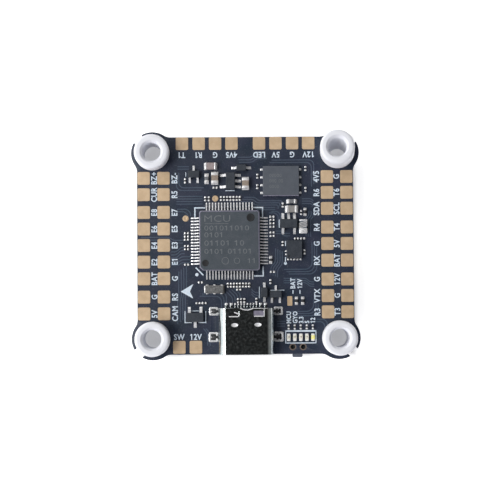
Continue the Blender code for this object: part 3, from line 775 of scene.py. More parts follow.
def gold_pad(width, depth, rounding=0.25):
    """A plated pad with a slightly raised rim."""
    bm = prism(rounded_rectangle(width, depth, rounding, 5), -PLATING / 2, PLATING)
    top = [face for face in bm.faces if face.normal.z > 0.9]
    bmesh.ops.inset_individual(bm, faces=top, thickness=0.12, depth=-0.015)
    soften(bm, sharp_edges(bm, 60), 0.015)
    return bm


def pad_places():
    places = [(x, TOP_ROW_Y) for x, _ in TOP_ROW]
    for columns, rows in ((LEFT_COLUMNS, LEFT_ROWS), (RIGHT_COLUMNS, RIGHT_ROWS)):
        places += [(x, row[0]) for x in columns for row in rows]
    return places + [(x, CORNER_ROW_Y) for x, _ in CORNER_PADS]


def make_pads():
    bm = bmesh.new()
    for x, y in pad_places():
        add(bm, gold_pad(PAD_WIDTH, PAD_DEPTH), at(x, y, BOARD_TOP))
    x, y, width, depth = JUMPER_PAD
    add(bm, gold_pad(width, depth, 0.1), at(x, y, BOARD_TOP))
    for x, y in TEST_POINTS:
        spot_outline = [(0.001, -0.02), (0.5, -0.02), (0.5, 0.03), (0.46, PLATING), (0.2, PLATING),
                        (0.12, 0.01), (0.001, 0.005)]
        add(bm, turned(spot_outline, 24), at(x, y, BOARD_TOP))
    make_piece("gold_pads", bm, ("gold plating",), angle=50)


# Printed marks: corner points of each line, and its width.
PRINTED_LINES = (
    (((-8.29, 4.6), (-8.29, 6.2), (-6.6, 6.2)), 0.2),
    (((1.3, 6.2), (2.82, 6.2), (2.82, 4.6)), 0.2),
    (((1.3, -5.04), (2.85, -5.04), (2.85, -3.5)), 0.2),
    (((-8.2, -3.6), (-6.95, -4.87)), 0.2),
    (((-3.25, 9.0), (-1.75, 9.0)), 0.15),
    (((5.55, 2.85), (5.55, 4.2)), 0.13),
    (((-9.75, 11.35), (-9.75, 12.1)), 0.1),
    (((4.1, -7.95), (4.1, -7.4), (6.3, -7.4)), 0.12),
    (((2.2, -6.8), (2.2, -8.7)), 0.1),
    (((-10.0, -10.75), (-10.0, -12.62), (-8.9, -12.62)), 0.13),
    (((-7.8, -12.62), (-6.6, -12.62), (-6.6, -10.75)), 0.15),
    (((-9.0, -10.7), (-7.7, -10.7)), 0.1),
    (((6.54, -0.17), (6.54, 0.66)), 0.16),
    (((6.54, -2.0), (6.54, -2.9)), 0.16),
    (((7.72, -7.4), (7.72, -8.0)), 0.17),
    (((8.86, -7.4), (8.86, -8.0)), 0.17),
)
PRINTED_DOTS = ((-8.01, -4.76, 0.27), (6.52, -3.0, 0.25))
ARROW = ((-10.69, -7.53), (-8.62, -6.3), (-9.17, -7.51), (-8.63, -8.69))
# Small labels that read upwards: X, lowest Y, text, height.
SMALL_LABELS = (
    (6.99, -12.83, "MCU", 0.74), (8.03, -12.83, "GYO", 0.74), (9.03, -12.83, "3.3", 0.74),
    (9.97, -12.83, "5", 0.74), (10.92, -12.83, "12", 0.74),
    (7.69, -7.15, "BAT", 0.78), (8.83, -7.15, "12V", 0.78),
)


def add_label(bm, text, height, x, y, turn, from_low_end=False):
    letters = lettering(text, height)
    if from_low_end:
        reach = max(v.co.x for v in letters.verts)
        bmesh.ops.translate(letters, vec=(reach, 0, 0), verts=letters.verts[:])
    add(bm, letters, at(x, y, BOARD_TOP - 0.005, turn))


def make_labels():
    bm = bmesh.new()
    for x, text in TOP_ROW:
        add_label(bm, text, LABEL_HEIGHT, x, 14.9, 180)
    for rows, first_x, second_x in (
        (LEFT_ROWS, -14.97, -11.62),
        (RIGHT_ROWS, 11.68, 14.98),
    ):
        for y, first, second in rows:
            add_label(bm, first, LABEL_HEIGHT, first_x, y, 90)
            add_label(bm, second, LABEL_HEIGHT, second_x, y, 90)
    for x, text in CORNER_PADS:
        add_label(bm, text, LABEL_HEIGHT, x, -14.95, 0)
    for x, y, text, height in SMALL_LABELS:
        add_label(bm, text, height, x, y, 90, from_low_end=True)
    make_piece("printed_labels", bm, ("printed ink",))


def lamp_places():
    return [middle(f"status_led_{i + 1}") for i in range(5)]


def make_marks():
    bm = bmesh.new()
    low, high = BOARD_TOP - 0.01, BOARD_TOP + 0.025
    for path, width in PRINTED_LINES:
        add(bm, ribbon(path, width, low, high))
    for x, y, radius in PRINTED_DOTS:
        add(bm, drum(radius, low, high), at(x, y))
    add(bm, prism(ARROW, low, high))
    lamps = lamp_places()
    pitch = lamps[1].x - lamps[0].x
    left, right = lamps[0].x - pitch / 2, lamps[-1].x + pitch / 2
    upper, lower = lamps[0].y + 1.03, lamps[0].y - 0.93
    add(bm, ribbon([(left, upper), (right, upper)], 0.26, low, high))
    add(bm, ribbon([(left, lower), (right, lower)], 0.14, low, high))
    for x in (left, right):
        add(bm, ribbon([(x, lower - 0.07), (x, upper + 0.13)], 0.14, low, high))
    make_piece("printed_marks", bm, ("printed ink",))


# Soft mounts.


def mount_profile(radius, height):
    """Half the section of a grommet, from its bore round to its flanges and neck."""
    bore, neck = 1.5, 1.95
    shoulder = BOARD_BOTTOM - STAND_OFF
    lower = arc(bore + 0.2, 0.62, 0.2, 180, 225, 4)
    lower += arc(bore + 0.42, 0.1, 0.1, 225, 270, 3)
    lower += arc(radius - 0.5, 0.5, 0.5, -90, 0, 8)
    lower += arc(radius - 0.12, shoulder - 0.12, 0.12, 0, 90, 3)
    lower += arc(neck + 0.12, shoulder + 0.12, 0.12, 270, 180, 3)
    return lower + [(r, height - z) for r, z in reversed(lower)]


MOUNT_LEAN = {"rear_right": (-0.055, 0.165)}


def make_mounts():
    make_silicone()
    for corner in ("front_left", "front_right", "rear_left", "rear_right"):
        node = f"grommet_{corner}"
        low, high = box_mm(node)
        size, centre = high - low, (low + high) / 2
        bm = turned(mount_profile(size.x / 2 - 0.06, size.z), 72)
        lean = Matrix()
        lean[0][2], lean[1][2] = MOUNT_LEAN.get(corner, (0, 0))
        waist = Matrix.Translation((0, 0, size.z / 2))
        moved(bm, waist @ lean @ waist.inverted())
        bmesh.ops.translate(bm, vec=(centre.x, centre.y, low.z), verts=bm.verts[:])
        face_outwards(bm)
        make_piece(f"mount_{corner}", bm, ("silicone",), replaces=[node])


# Soldered packages.


def on_face(x, y, side):
    """A place on the board's top (side 1), or upside down on its underside (side -1)."""
    surface, flip = (BOARD_TOP, 0) if side > 0 else (BOARD_BOTTOM, math.pi)
    return Matrix.Translation((x, y, surface)) @ Matrix.Rotation(flip, 4, "X")


def is_under(node):
    return box_mm(node)[1].z < BOARD_TOP


def spot(node, quarter_turns=0):
    """Where a soldered piece stands: its centre on the board's surface, turned as it lies."""
    centre = middle(node)
    turn = Matrix.Rotation(quarter_turns * math.pi / 2, 4, "Z")
    return on_face(centre.x, centre.y, -1 if is_under(node) else 1) @ turn


def height_above_board(node):
    low, high = box_mm(node)
    return BOARD_BOTTOM - low.z if is_under(node) else high.z - BOARD_TOP


def spans(node, quarter_turns=0):
    """A piece's length and width, as it was before it was turned."""
    low, high = box_mm(node)
    size = high - low
    return (size.y, size.x) if quarter_turns % 2 else (size.x, size.y)


def started(node, quarter_turns=0):
    """An empty shape, with the length, width and height of the piece that it is for."""
    return bmesh.new(), *spans(node, quarter_turns), height_above_board(node)


def moulded_body(length, width, low, high, corner, draft=0.1, edge=0.05, cut=0.0):
    """A moulded body that is widest at its mid-height, where the mould parts."""
    bm = block((length, width, high - low))
    slices = bm.verts[:] + bm.edges[:] + bm.faces[:]
    bmesh.ops.bisect_plane(bm, geom=slices, plane_co=(0, 0, 0), plane_no=(0, 0, 1))
    for vert in bm.verts:
        if abs(vert.co.z) > 1e-4:
            vert.co.x -= math.copysign(draft, vert.co.x)
            vert.co.y -= math.copysign(draft, vert.co.y)
    upright = [e for e in bm.edges if abs(e.verts[0].co.z - e.verts[1].co.z) > 1e-3]
    marked = [e for e in upright if max(v.co.x + v.co.y for v in e.verts) < 0]
    if cut:
        soften(bm, marked, cut, 1)
        upright = [e for e in upright if e.is_valid and e not in marked]
    soften(bm, upright, corner, 1)
    soften(bm, [e for e in sharp_edges(bm, 50) if abs(e.verts[0].co.z - e.verts[1].co.z) < 1e-4], edge)
    bmesh.ops.translate(bm, vec=(0, 0, (low + high) / 2), verts=bm.verts[:])
    return bm


SIDE_TURN = {"+x": 0, "+y": 90, "-x": 180, "-y": 270}


def gull_lead(inner, reach, width, height):
    """A lead that leaves its body along +X at mid-height and ends in a flat foot."""
    run = reach - inner
    shoulder, foot = inner + 0.3 * run, inner + 0.48 * run
    low = height / 2 + STAND_OFF / 2 - LEAD_THICKNESS / 2
    high = low + LEAD_THICKNESS
    outline = [
        (inner - 0.2, low), (shoulder - LEAD_THICKNESS * 0.8, low),
        (foot - LEAD_THICKNESS * 0.8, STAND_OFF), (reach, STAND_OFF),
        (reach, STAND_OFF + LEAD_THICKNESS), (foot, STAND_OFF + LEAD_THICKNESS),
        (shoulder, high), (inner - 0.2, high),
    ]
    bm = prism(outline, -width / 2, width / 2, across_y())
    bends = [
        e for e in bm.edges
        if abs(e.verts[0].co.y - e.verts[1].co.y) > width / 2
        and all(inner - 0.1 < v.co.x < reach - 0.05 for v in e.verts)
    ]
    soften(bm, bends, 0.07, 2)
    return bm


def solder_toe(start, reach, end, width, height):
    """Solder round a foot, from under its heel to the end of the pad."""
    outline = [
        (start, 0), (end, 0), (end, 0.03), (reach + 0.06, height * 0.55),
        (reach, height), (start + 0.05, height * 0.6),
    ]
    bm = prism(outline, -width / 2, width / 2, across_y())
    soften(bm, sharp_edges(bm, 50), min(0.025, width / 8), 1)
    return bm


def row(side, count, pitch):
    return [(side, (i - (count - 1) / 2) * pitch) for i in range(count)]


def equal_rows(sides, count, pitch):
    return [place for side in sides for place in row(side, count, pitch)]


# Packages: body length, width, lead width, corner cut, pad beyond the lead, and the lead places.
PACKAGES = {
    "quad": (10.0, 10.0, 0.19, 0.28, 0.32, equal_rows(("+x", "-x", "+y", "-y"), 16, 0.5)),
    "long": (9.7, 4.4, 0.25, 0.1, 0.3, equal_rows(("+y", "-y"), 14, 0.65)),
    "five": (2.92, 1.6, 0.42, 0.06, 0.32, row("+y", 3, 0.95) + row("-y", 2, 1.9)),
    "six": (2.92, 1.6, 0.42, 0.06, 0.3, equal_rows(("+y", "-y"), 3, 0.95)),
    "three": (2.92, 1.6, 0.46, 0.06, 0.32, row("+y", 2, 1.9) + row("-y", 1, 1.0)),
    "small three": (2.0, 1.25, 0.34, 0.05, 0.25, row("+y", 1, 1.0) + row("-y", 2, 1.3)),
    "two": (1.7, 1.15, 0.4, 0.05, 0.25, equal_rows(("+x", "-x"), 1, 1.0)),
}
PACKAGE_OF = {
    "osd_chip": ("long", 0),
    "regulator_1": ("five", 3),
    "regulator_2": ("five", 0),
    "transistor_1": ("three", 0),
    "transistor_2": ("small three", 0),
    "transistor_3": ("small three", 0),
    "diode_1": ("two", 0),
    "diode_2": ("two", 1),
    "buck_regulator_1": ("six", 1),
    "buck_regulator_2": ("six", 1),
}


def package_parts(node, kind, turns):
    """A package's body and leads in one mesh, with its solder in another."""
    length, width, lead_width, corner, pad, places = PACKAGES[kind]
    span_x, span_y = spans(node, turns)
    height = height_above_board(node)
    parts, solder = bmesh.new(), bmesh.new()
    cut = 0.6 if kind == "quad" else 0.0
    edge = 0.13 if kind == "quad" else 0.05
    body = moulded_body(length, width, 2 * STAND_OFF, height, corner, edge=edge, cut=cut)
    add(parts, body, material=0)
    # The bevels round the top get the lighter edge finish: glossier, which is real, and lavender, which is
    # a painted highlight.
    if kind == "quad":
        for face in parts.faces:
            z = face.calc_center_median().z
            face.material_index = 4 if 0.2 < face.normal.z < 0.95 and z > height - 0.2 else 0
    for side, offset in places:
        along_x = side[1] == "x"
        inner, reach = (length / 2, span_x / 2) if along_x else (width / 2, span_y / 2)
        shift = (0, offset) if along_x else (offset, 0)
        place = at(*shift, 0, SIDE_TURN[side])
        add(parts, gull_lead(inner, reach, lead_width, height), place, 1)
        heel = inner + 0.35 * (reach - inner)
        toe = solder_toe(heel, reach, reach + pad, lead_width + 0.02, 0.15)
        add(solder, toe, place)
    return parts, solder


def mark_rows(bm, rows, material, slimness=1.0):
    """Faint generic marking: rows of (x, y, z, height, text)."""
    for x, y, z, height, text in rows:
        letters = lettering(text, height, weight=0.0, thickness=0.012, slimness=slimness)
        reach = max(v.co.x for v in letters.verts)
        bmesh.ops.translate(letters, vec=(reach, 0, 0), verts=letters.verts[:])
        add(bm, letters, at(x, y, z), material)


def make_processor():
    node = "microcontroller"
    parts, solder = package_parts(node, "quad", 0)
    height = height_above_board(node)
    for x, y, radius in ((3.47, 3.75, 0.67), (-3.94, -3.65, 0.55)):
        dish = turned([(0.001, -0.02), (radius, -0.02), (radius, 0.004), (radius - 0.06, 0.012),
                       (radius - 0.12, 0.002), (0.001, 0.002)], 32)
        add(parts, dish, at(x, y, height), 2)
    rows = (
        (-4.1, 3.6, height, 1.1, "MCU"), (-4.1, 2.05, height, 0.85, "001011010"),
        (-4.1, 0.95, height, 0.85, "0101"), (-4.1, -0.4, height, 0.9, "01101 10"),
        (-4.1, -1.75, height, 0.85, "0101 01101"), (2.9, -3.3, height, 0.8, "11"),
    )
    mark_rows(parts, rows, 3, 1.3)
    add_block(parts, 3, (3.9, 0.08, 0.012), (-2.1, 2.78, height + 0.004), 0)
    for x, radius in ((-0.7, 0.5), (1.2, 0.4)):
        ring = [(radius, -0.01), (radius + 0.1, -0.01), (radius + 0.1, 0.012), (radius, 0.012)]
        add(parts, turned(ring, 24), at(x, -3.3, height), 3)
    finishes = ("black moulding", "lead tin", "dimple", "laser mark", "painted edge highlight")
    place = spot(node)
    make_piece("processor", parts, finishes, replaces=[node], place=place)
    make_piece("processor_solder", solder, ("solder",), place=place)


def make_packages():
    for node, (kind, turns) in PACKAGE_OF.items():
        parts, solder = package_parts(node, kind, turns)
        add(parts, solder, material=2)
        finishes = ("small moulding", "lead tin", "solder")
        make_piece(
            f"{node}_package", parts, finishes,
            replaces=[node], place=spot(node, turns),
        )


def make_memory_chip():
    node = "memory_chip"
    bm, length, width, height = started(node)
    body = moulded_body(length, width, STAND_OFF, height, 0.05, draft=0.04, edge=0.1)
    add(bm, body, material=0)
    # The front faces get the lighter edge finish, a painted highlight on the side that faces the front
    # light.
    for face in bm.faces:
        front = face.normal.y < -0.2 and face.normal.z > -0.1
        face.material_index = 3 if front else 0
    for side in (-1, 1):
        for i in range(4):
            y = (1.5 - i) * 1.28
            add_block(bm, 1, (0.5, 0.36, 0.16), (side * (length / 2 + 0.12), y, 0.08), 0.05)
    rows = ((-1.9, 0.9, height, 0.55, "00000"), (-1.9, 0.0, height, 0.55, "000 00"),
            (-1.9, -0.9, height, 0.55, "0000"))
    mark_rows(bm, rows, 2)
    finishes = ("memory moulding", "solder", "laser mark", "painted edge highlight")
    make_piece("memory_package", bm, finishes, replaces=[node], place=spot(node))


def make_motion_sensor():
    node = "motion_sensor"
    bm, length, width, height = started(node)
    body = moulded_body(length, width, STAND_OFF, height, 0.05, draft=0.02, edge=0.04)
    add(bm, body, material=0)
    for i in range(5):
        add_block(bm, 1, (0.3, 0.34, 0.1), ((i - 2) * 0.51, -width / 2 - 0.1, 0.04), 0.04)
    for y in (-0.24, -0.78):
        add_block(bm, 1, (0.34, 0.24, 0.1), (-length / 2 - 0.1, y, 0.04), 0.04)
    add(bm, drum(0.13, height - 0.02, height + 0.006, 20), at(-0.9, -1.1), 2)
    finishes = ("small moulding", "solder", "dimple")
    make_piece("motion_sensor_package", bm, finishes, replaces=[node], place=spot(node))


# Chips with two ends: the CAD node, its body's finish, and the length of each end.
CHIPS = {
    "capacitor_1": ("rose ceramic", 0.32),
    "capacitor_2": ("brown ceramic", 0.5),
    "capacitor_3": ("brown ceramic", 0.5),
    "capacitor_4": ("grey ceramic", 0.36),
    "capacitor_5": ("beige ceramic", 0.42),
    "resistor_1": ("grey ceramic", 0.45),
    "resistor_2": ("black ceramic", 0.24),
    "jumper_resistor_1": ("black ceramic", 0.27),
    "jumper_resistor_2": ("black ceramic", 0.27),
    "power_capacitor_1": ("brown ceramic", 0.5),
    "power_capacitor_2": ("brown ceramic", 0.5),
    "power_capacitor_3": ("brown ceramic", 0.5),
    "power_capacitor_4": ("brown ceramic", 0.5),
}


def end_fillet(width, reach, rise):
    """Solder that climbs the end of a chip, hollow as solder is."""
    curve = [(reach * (1 - math.sin(a)), rise * (1 - math.cos(a)))
             for a in (math.radians(step * 18) for step in range(6))]
    outline = [(-0.08, 0)] + curve + [(-0.08, rise)]
    return prism(outline, -width / 2, width / 2, across_y())


def two_ended_chip(length, width, height, end, rounding):
    """A chip along X on the board: body, ends and solder as materials 0, 1 and 2."""
    bm = bmesh.new()
    low = STAND_OFF / 2
    slim = 0.05
    add_block(
        bm, 0, (length - end, width - slim, height - low - slim), (0, 0, (height + low) / 2), rounding / 2
    )
    for side in (-1, 1):
        centre = (side * (length - end) / 2, 0, (height + low) / 2)
        add_block(bm, 1, (end, width, height - low), centre, rounding, 3)
        pad_place = (side * (length / 2 - end / 2 + 0.08), 0, 0.03)
        add_block(bm, 2, (end + 0.2, width + 0.02, 0.07), pad_place, 0.03, 1)
        fillet = end_fillet(width * 0.92, min(0.12, height * 0.3), height * 0.5)
        turn = 0 if side > 0 else 180
        add(bm, fillet, at(side * length / 2, 0, 0, turn), 2)
    return bm


def chip_turns(node):
    low, high = box_mm(node)
    return 1 if high.y - low.y > high.x - low.x else 0


def make_chips():
    for node, (body, end) in CHIPS.items():
        turns = chip_turns(node)
        length, width = spans(node, turns)
        height = height_above_board(node)
        solder_room = 0.2 if length > 1.2 else 0.0
        bm = two_ended_chip(length - solder_room, width - solder_room / 2, height, end, min(0.1, width / 8))
        finishes = (body, "tinned metal", "solder")
        make_piece(f"{node}_chip", bm, finishes, replaces=[node], place=spot(node, turns))


# The smallest chips, 0.6 by 0.3 mm, by the way they lie.
TINY_UPRIGHT = (
    [(-9.87, 10.65), (-6.56, 7.66), (-5.96, 7.66), (2.02, 11.34), (2.0, 9.62), (9.92, 12.55)]
    + [(9.92, 9.1), (6.16, 6.56), (9.16, 5.3), (6.1, 0.23), (9.66, -1.17), (4.04, -6.0)]
    + [(-3.97 + 0.517 * i, 7.7) for i in range(7)]
    + [(-2.93 + 0.5 * i, -6.53) for i in range(8)]
    + [(-1.29 + 0.525 * i, -9.07) for i in range(3)]
    + [(1.72, -9.05)]
    + [(6.96 + 0.99 * i, -13.45) for i in range(5)]
)
TINY_LEVEL = (
    [(-4.92, 9.5), (8.36, 1.05), (9.39, 1.06), (4.38, -4.4), (-7.44, -6.05), (-7.84, -9.44)]
    + [(-6.83, -9.44), (-1.15, -7.27)]
    + [(4.38, y) for y in (4.66, 4.14, 3.57, 3.0, 2.07, 1.5)]
    + [(-9.67, y) for y in (2.04, 1.5, 0.99, -0.06, -0.6, -3.13)]
)


def tiny_chip():
    """A chip with rounded ends in solder, plain enough to be repeated often."""
    bm = bmesh.new()
    add_block(bm, 0, (0.36, 0.27, 0.2), (0, 0, 0.13), 0.03, 1)
    for side in (-1, 1):
        add_block(bm, 1, (0.3, 0.34, 0.26), (side * 0.26, 0, 0.13), 0.07, 2)
    return bm


def make_tiny_chips():
    bm = bmesh.new()
    for places, turn in ((TINY_UPRIGHT, 90), (TINY_LEVEL, 0)):
        for x, y in places:
            add(bm, tiny_chip(), at(x, y, BOARD_TOP, turn))
    add(bm, two_ended_chip(0.95, 0.5, 0.4, 0.28, 0.06), at(4.1, -2.42, BOARD_TOP, 90))
    for face in bm.faces:
        face.material_index = min(face.material_index, 1)
    make_piece("tiny_chips", bm, ("black ceramic", "solder"))


def make_resonator():
    node = "resonator"
    bm, length, width, height = started(node)
    base_high = 0.52
    add_block(bm, 0, (length, width, base_high - STAND_OFF), (0, 0, base_high / 2), 0.05)
    lid_size = (length - 0.22, width - 0.2, height - base_high)
    add_block(bm, 1, lid_size, (0, 0, (height + base_high) / 2), 0.1, 3)
    for x in (-1.2, 0, 1.2):
        for side in (-1, 1):
            add_block(bm, 2, (0.42, 0.3, 0.4), (x, side * (width / 2 - 0.02), 0.22), 0.07)
    add_block(bm, 2, (0.22, width * 0.9, 0.5), (-length / 2 + 0.02, 0, 0.42), 0.08)
    finishes = ("beige ceramic", "resonator lid", "solder")
    make_piece("resonator_block", bm, finishes, replaces=[node], place=spot(node))


def make_wound_inductor():
    node = "chip_inductor"
    bm, length, width, height = started(node, 1)
    add_block(bm, 0, (length - 0.1, width - 0.14, height - 0.2), (0, 0, height / 2 - 0.05), 0.05)
    for side, end in ((1, 0.24), (-1, 0.85)):
        add_block(
            bm, 1, (end, width, height - 0.03), (side * (length - end) / 2, 0, height / 2), 0.08, 3
        )
    for i in range(4):
        x = -length / 2 + 1.06 + i * 0.25
        wire = drum(0.075, -width / 2 - 0.02, width / 2 + 0.02, 10)
        slant = Matrix.Rotation(math.radians(90), 4, "X")
        lean = Matrix.Rotation(math.radians(16), 4, "Z")
        add(bm, wire, Matrix.Translation((x, 0, height - 0.1)) @ lean @ slant, 2)
        for side in (-1, 1):
            upright = drum(0.075, 0.2, height - 0.1, 10)
            add(bm, upright, at(x - side * 0.19, side * (width / 2 - 0.04)), 2)
    finishes = ("blue grey ceramic", "solder", "enamelled wire")
    make_piece("wound_inductor", bm, finishes, replaces=[node], place=spot(node, 1))


def make_lamps():
    for i in range(5):
        node = f"status_led_{i + 1}"
        bm, length, width, height = started(node, 1)
        add_block(bm, 0, (length, width, 0.14), (0, 0, 0.12), 0.03)
        resin_size = (length * 0.66, width * 1.16, height - 0.19)
        add_block(bm, 1, resin_size, (0, 0, (height + 0.19) / 2), 0.05, 3)
        add_block(bm, 3, (0.2, 0.2, 0.02), (0.07, -0.03, height + 0.002), 0.008, 1)
        for side in (-1, 1):
            add_block(
                bm, 0, (0.26, width + 0.06, 0.24), (side * (length / 2 - 0.08), 0, 0.14), 0.05
            )
            fillet = end_fillet(width * 0.9, 0.12, 0.2)
            add(bm, fillet, at(side * length / 2, 0, 0, 0 if side > 0 else 180), 2)
        lens = "yellow phosphor" if i == 4 else "pale resin"
        die_finish = "yellow phosphor" if i == 4 else "rose ceramic"
        finishes = ("lamp base", lens, "solder", die_finish)
        make_piece(f"status_lamp_{i + 1}", bm, finishes, replaces=[node], place=spot(node, 1))


# The USB socket.
USB_WIDTH = 8.94
USB_WALL = 0.3
USB_CORNER = 1.28
CONTACT_PITCH = 0.5
WINDOW_X = 2.0
WINDOW_BACK = 0.86
DENT_X = 1.88
NOTCH = (0.1, 1.66, 1.9)


def usb_tube(bottom, top, low_y, high_y, inset=0.0):
    width, height = USB_WIDTH - 2 * inset, top - bottom - 2 * inset
    outline = rounded_rectangle(width, height, USB_CORNER - inset, 12)
    return prism(outline, low_y, high_y, across_y(0, (bottom + top) / 2))


def make_usb_shell():
    high = box_mm("usb_shell")[1]
    bottom, top = BOARD_TOP + STAND_OFF, high.z
    mouth, rear = -BOARD_HALF_Y, high.y
    shell = usb_tube(bottom, top, mouth, rear)
    shell = carved(shell, usb_tube(bottom, top, mouth - 1, rear + 1, USB_WALL))
    cuts = bmesh.new()
    window = rounded_rectangle(1.62, 0.85, 0.12, 3)
    window_y = rear - WINDOW_BACK
    notch_x, notch_back, notch_radius = NOTCH
    for side in (-1, 1):
        add(cuts, prism(window, 0, 1), at(side * WINDOW_X, window_y, top - 0.6))
    add(cuts, drum(notch_radius, 0, 1, 40), at(notch_x, rear + notch_back, top - 0.6))
    shell = carved(shell, cuts)
    soften(shell, sharp_edges(shell, 60), 0.05, 2)
    for side, y in ((-1, rear - 2.73), (1, rear - 2.69)):
        shell = carved(shell, dome((1.16, 0.64, 0.3), (side * DENT_X, y, top + 0.03)))
    # Faces in the two dents get the pale steel, a painted highlight.
    for face in shell.faces:
        x, y, z = face.calc_center_median()
        dent_glint = abs(abs(x) - DENT_X) < 0.56 and abs(y - rear + 2.71) < 0.33 and face.normal.z > 0.2
        face.material_index = 1 if dent_glint and z < top - 0.002 and len(face.verts) < 5 else 0
    # The left window's tab is shell steel; the right one's is the violet-grey copy, a painted reflection.
    for side, material in ((-1, 0), (1, 2)):
        add(shell, prism(window, -0.26, -0.1), at(side * WINDOW_X, window_y, top), material)
    # Pale strips round the windows and the notch are painted glints, standing for the edges of bent tabs.
    low, rim = top - 0.06, top + 0.012
    for path, width in (
        (((-2.8, rear - 1.36), (-1.35, rear - 1.36), (-1.08, rear - 1.2)), 0.15),
        (((-1.0, rear - 1.04), (-1.95, rear - 0.66)), 0.19),
        (((1.24, rear - 1.32), (2.9, rear - 1.32)), 0.15),
        (((2.9, rear - 1.38), (2.9, rear - 0.2)), 0.15),
        (arc(notch_x, rear + notch_back, notch_radius + 0.06, 302, 238, 10), 0.15),
        (((1.2, rear - 0.06), (3.5, rear - 0.06)), 0.06),
    ):
        add(shell, ribbon(path, width, low, rim), material=1)
    for x, y, width, depth in lug_places():
        out = math.copysign(1, x)
        foot = x - out * 0.06
        arm = [(out * 4.2, 0.5), (foot - out * 0.15, 0.5), (foot - out * 0.15, -1.7),
               (foot + out * 0.15, -1.7), (foot + out * 0.15, 0.75), (out * 4.2, 0.75)]
        lug = prism(arm, y - 0.22, y + 0.22, across_y(0, BOARD_TOP))
        soften(lug, sharp_edges(lug, 60), 0.02)
        # The lugs and the blocks that fill their slots are near-black: painted shade in the slots.
        add_block(shell, 3, (width - 0.02, depth - 0.02, 0.9), (x, y, BOARD_TOP - 0.37), 0.02)
        add(shell, lug, material=3)
    finishes = ("shell steel", "painted glint steel", "painted reflection steel", "painted shade lug steel")
    make_piece("usb_shell_pressed", shell, finishes, replaces=["usb_shell"], angle=30)


def make_usb_joints():
    """Solder rings round the lugs, the contact tails, and the contacts on the tongue."""
    bm = bmesh.new()
    for x, y, width, depth in lug_places():
        outer = rounded_rectangle(width + 0.68, depth + 0.66, 0.22, 5)
        inner = rounded_rectangle(width + 0.02, depth + 0.04, 0.12, 5)
        for side in (1, -1):
            ring = pierced_plate([outer, inner], -0.02, 0.1)
            soften(ring, sharp_edges(ring, 60), 0.045)
            for turn in (180,) if x < 0 else (90, 270):
                edge = (width if x < 0 else depth) / 2 + 0.08
                tip = edge - 0.26
                tongue = [(edge, -0.17), (edge, 0.17), (tip, 0.04), (tip, -0.04)]
                add(ring, prism(tongue, 0, 0.13), at(0, 0, 0, turn))
            add(bm, ring, on_face(x, y, side), 0)
    rear = box_mm("usb_shell")[1].y
    narrow = [(i - 3.5) * CONTACT_PITCH for i in range(8)]
    wide = [side * x for x in (2.4, 3.2) for side in (-1, 1)]
    for x, width in [(x, 0.24) for x in narrow] + [(x, 0.5) for x in wide]:
        add_block(bm, 0, (width, 0.42, 0.12), (x, rear + 0.64, BOARD_TOP + 0.06), 0.04)
        add_block(bm, 2, (width * 0.8, 0.7, 0.12), (x, rear + 0.2, BOARD_TOP + 0.14), 0.03)
    middle_height = middle("usb_shell").z
    for i in range(12):
        x = (i - 5.5) * CONTACT_PITCH
        for side in (-1, 1):
            add_block(bm, 1, (0.26, 3.6, 0.06), (x, -14.5, middle_height + side * 0.36), 0.02)
    finishes = ("solder", "gold plating", "shell steel")
    make_piece("usb_joints", bm, finishes)


# The boot button, the connector and the pieces under the board.


def make_softened(name, node, width, finish_name, body="board"):
    """A piece that keeps the shape of its CAD solid, with softened edges."""
    return make_piece(name, smoothed_copy(node, width), (finish_name,), body, [node])


def make_button_spring():
    """The spring behind the actuator, with a mesh of its own."""
    piece = make_softened("boot_spring", "button_spring", 0.01, "tinned metal")
    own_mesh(piece)


def make_button():
    make_softened("boot_actuator", "button_actuator", 0.05, "grey plastic", "button")
    make_softened("boot_housing", "button_housing", 0.03, "black moulding")
    make_softened("boot_cover", "button_cover", 0.03, "tinned metal")
    make_button_spring()
    rings = bmesh.new()
    for x, y in peg_places():
        for side in (1, -1):
            ring = [(PEG_RADIUS, -0.3), (PEG_RADIUS + 0.06, -0.3), (PEG_RADIUS + 0.06, 0.005),
                    (PEG_RADIUS + 0.19, 0.005), (PEG_RADIUS + 0.15, 0.02), (PEG_RADIUS, 0.02)]
            add(rings, turned(ring, 32), on_face(x, y, side))
    make_piece("peg_rings", rings, ("plated slot",))


def make_connector():
    housing = "esc_connector_housing"
    make_softened("motor_connector_housing", housing, 0.06, "cream plastic")
    solder = bmesh.new()
    toe_x = box_mm(housing)[0].x - 0.85
    for i in range(1, 9):
        pin = f"esc_connector_pin_{i}"
        make_softened(f"motor_connector_pin_{i}", pin, 0.03, "tinned metal")
        toe = (toe_x, middle(pin).y, BOARD_BOTTOM - 0.05)
        add(solder, block((1.1, 0.5, 0.14), 0.05, centre=toe))
    make_piece("motor_connector_solder", solder, ("solder",))


def make_power_parts():
    for i in (1, 2):
        node = f"power_inductor_{i}"
        bm, side, _, height = started(node)
        body = prism(rounded_rectangle(side, side, 0.5, 6), STAND_OFF, height)
        soften(body, sharp_edges(body, 60), 0.12, 3)
        add(bm, body, material=0)
        for end in (-1, 1):
            add_block(bm, 1, (1.0, side - 0.9, 0.14), (end * (side / 2 - 0.3), 0, 0.06), 0.05)
        rows = ((-0.75, 0.0, height, 0.9, "100"),)
        mark_rows(bm, rows, 2)
        finishes = ("ferrite", "solder", "laser mark")
        make_piece(f"power_coil_{i}", bm, finishes, replaces=[node], place=spot(node))


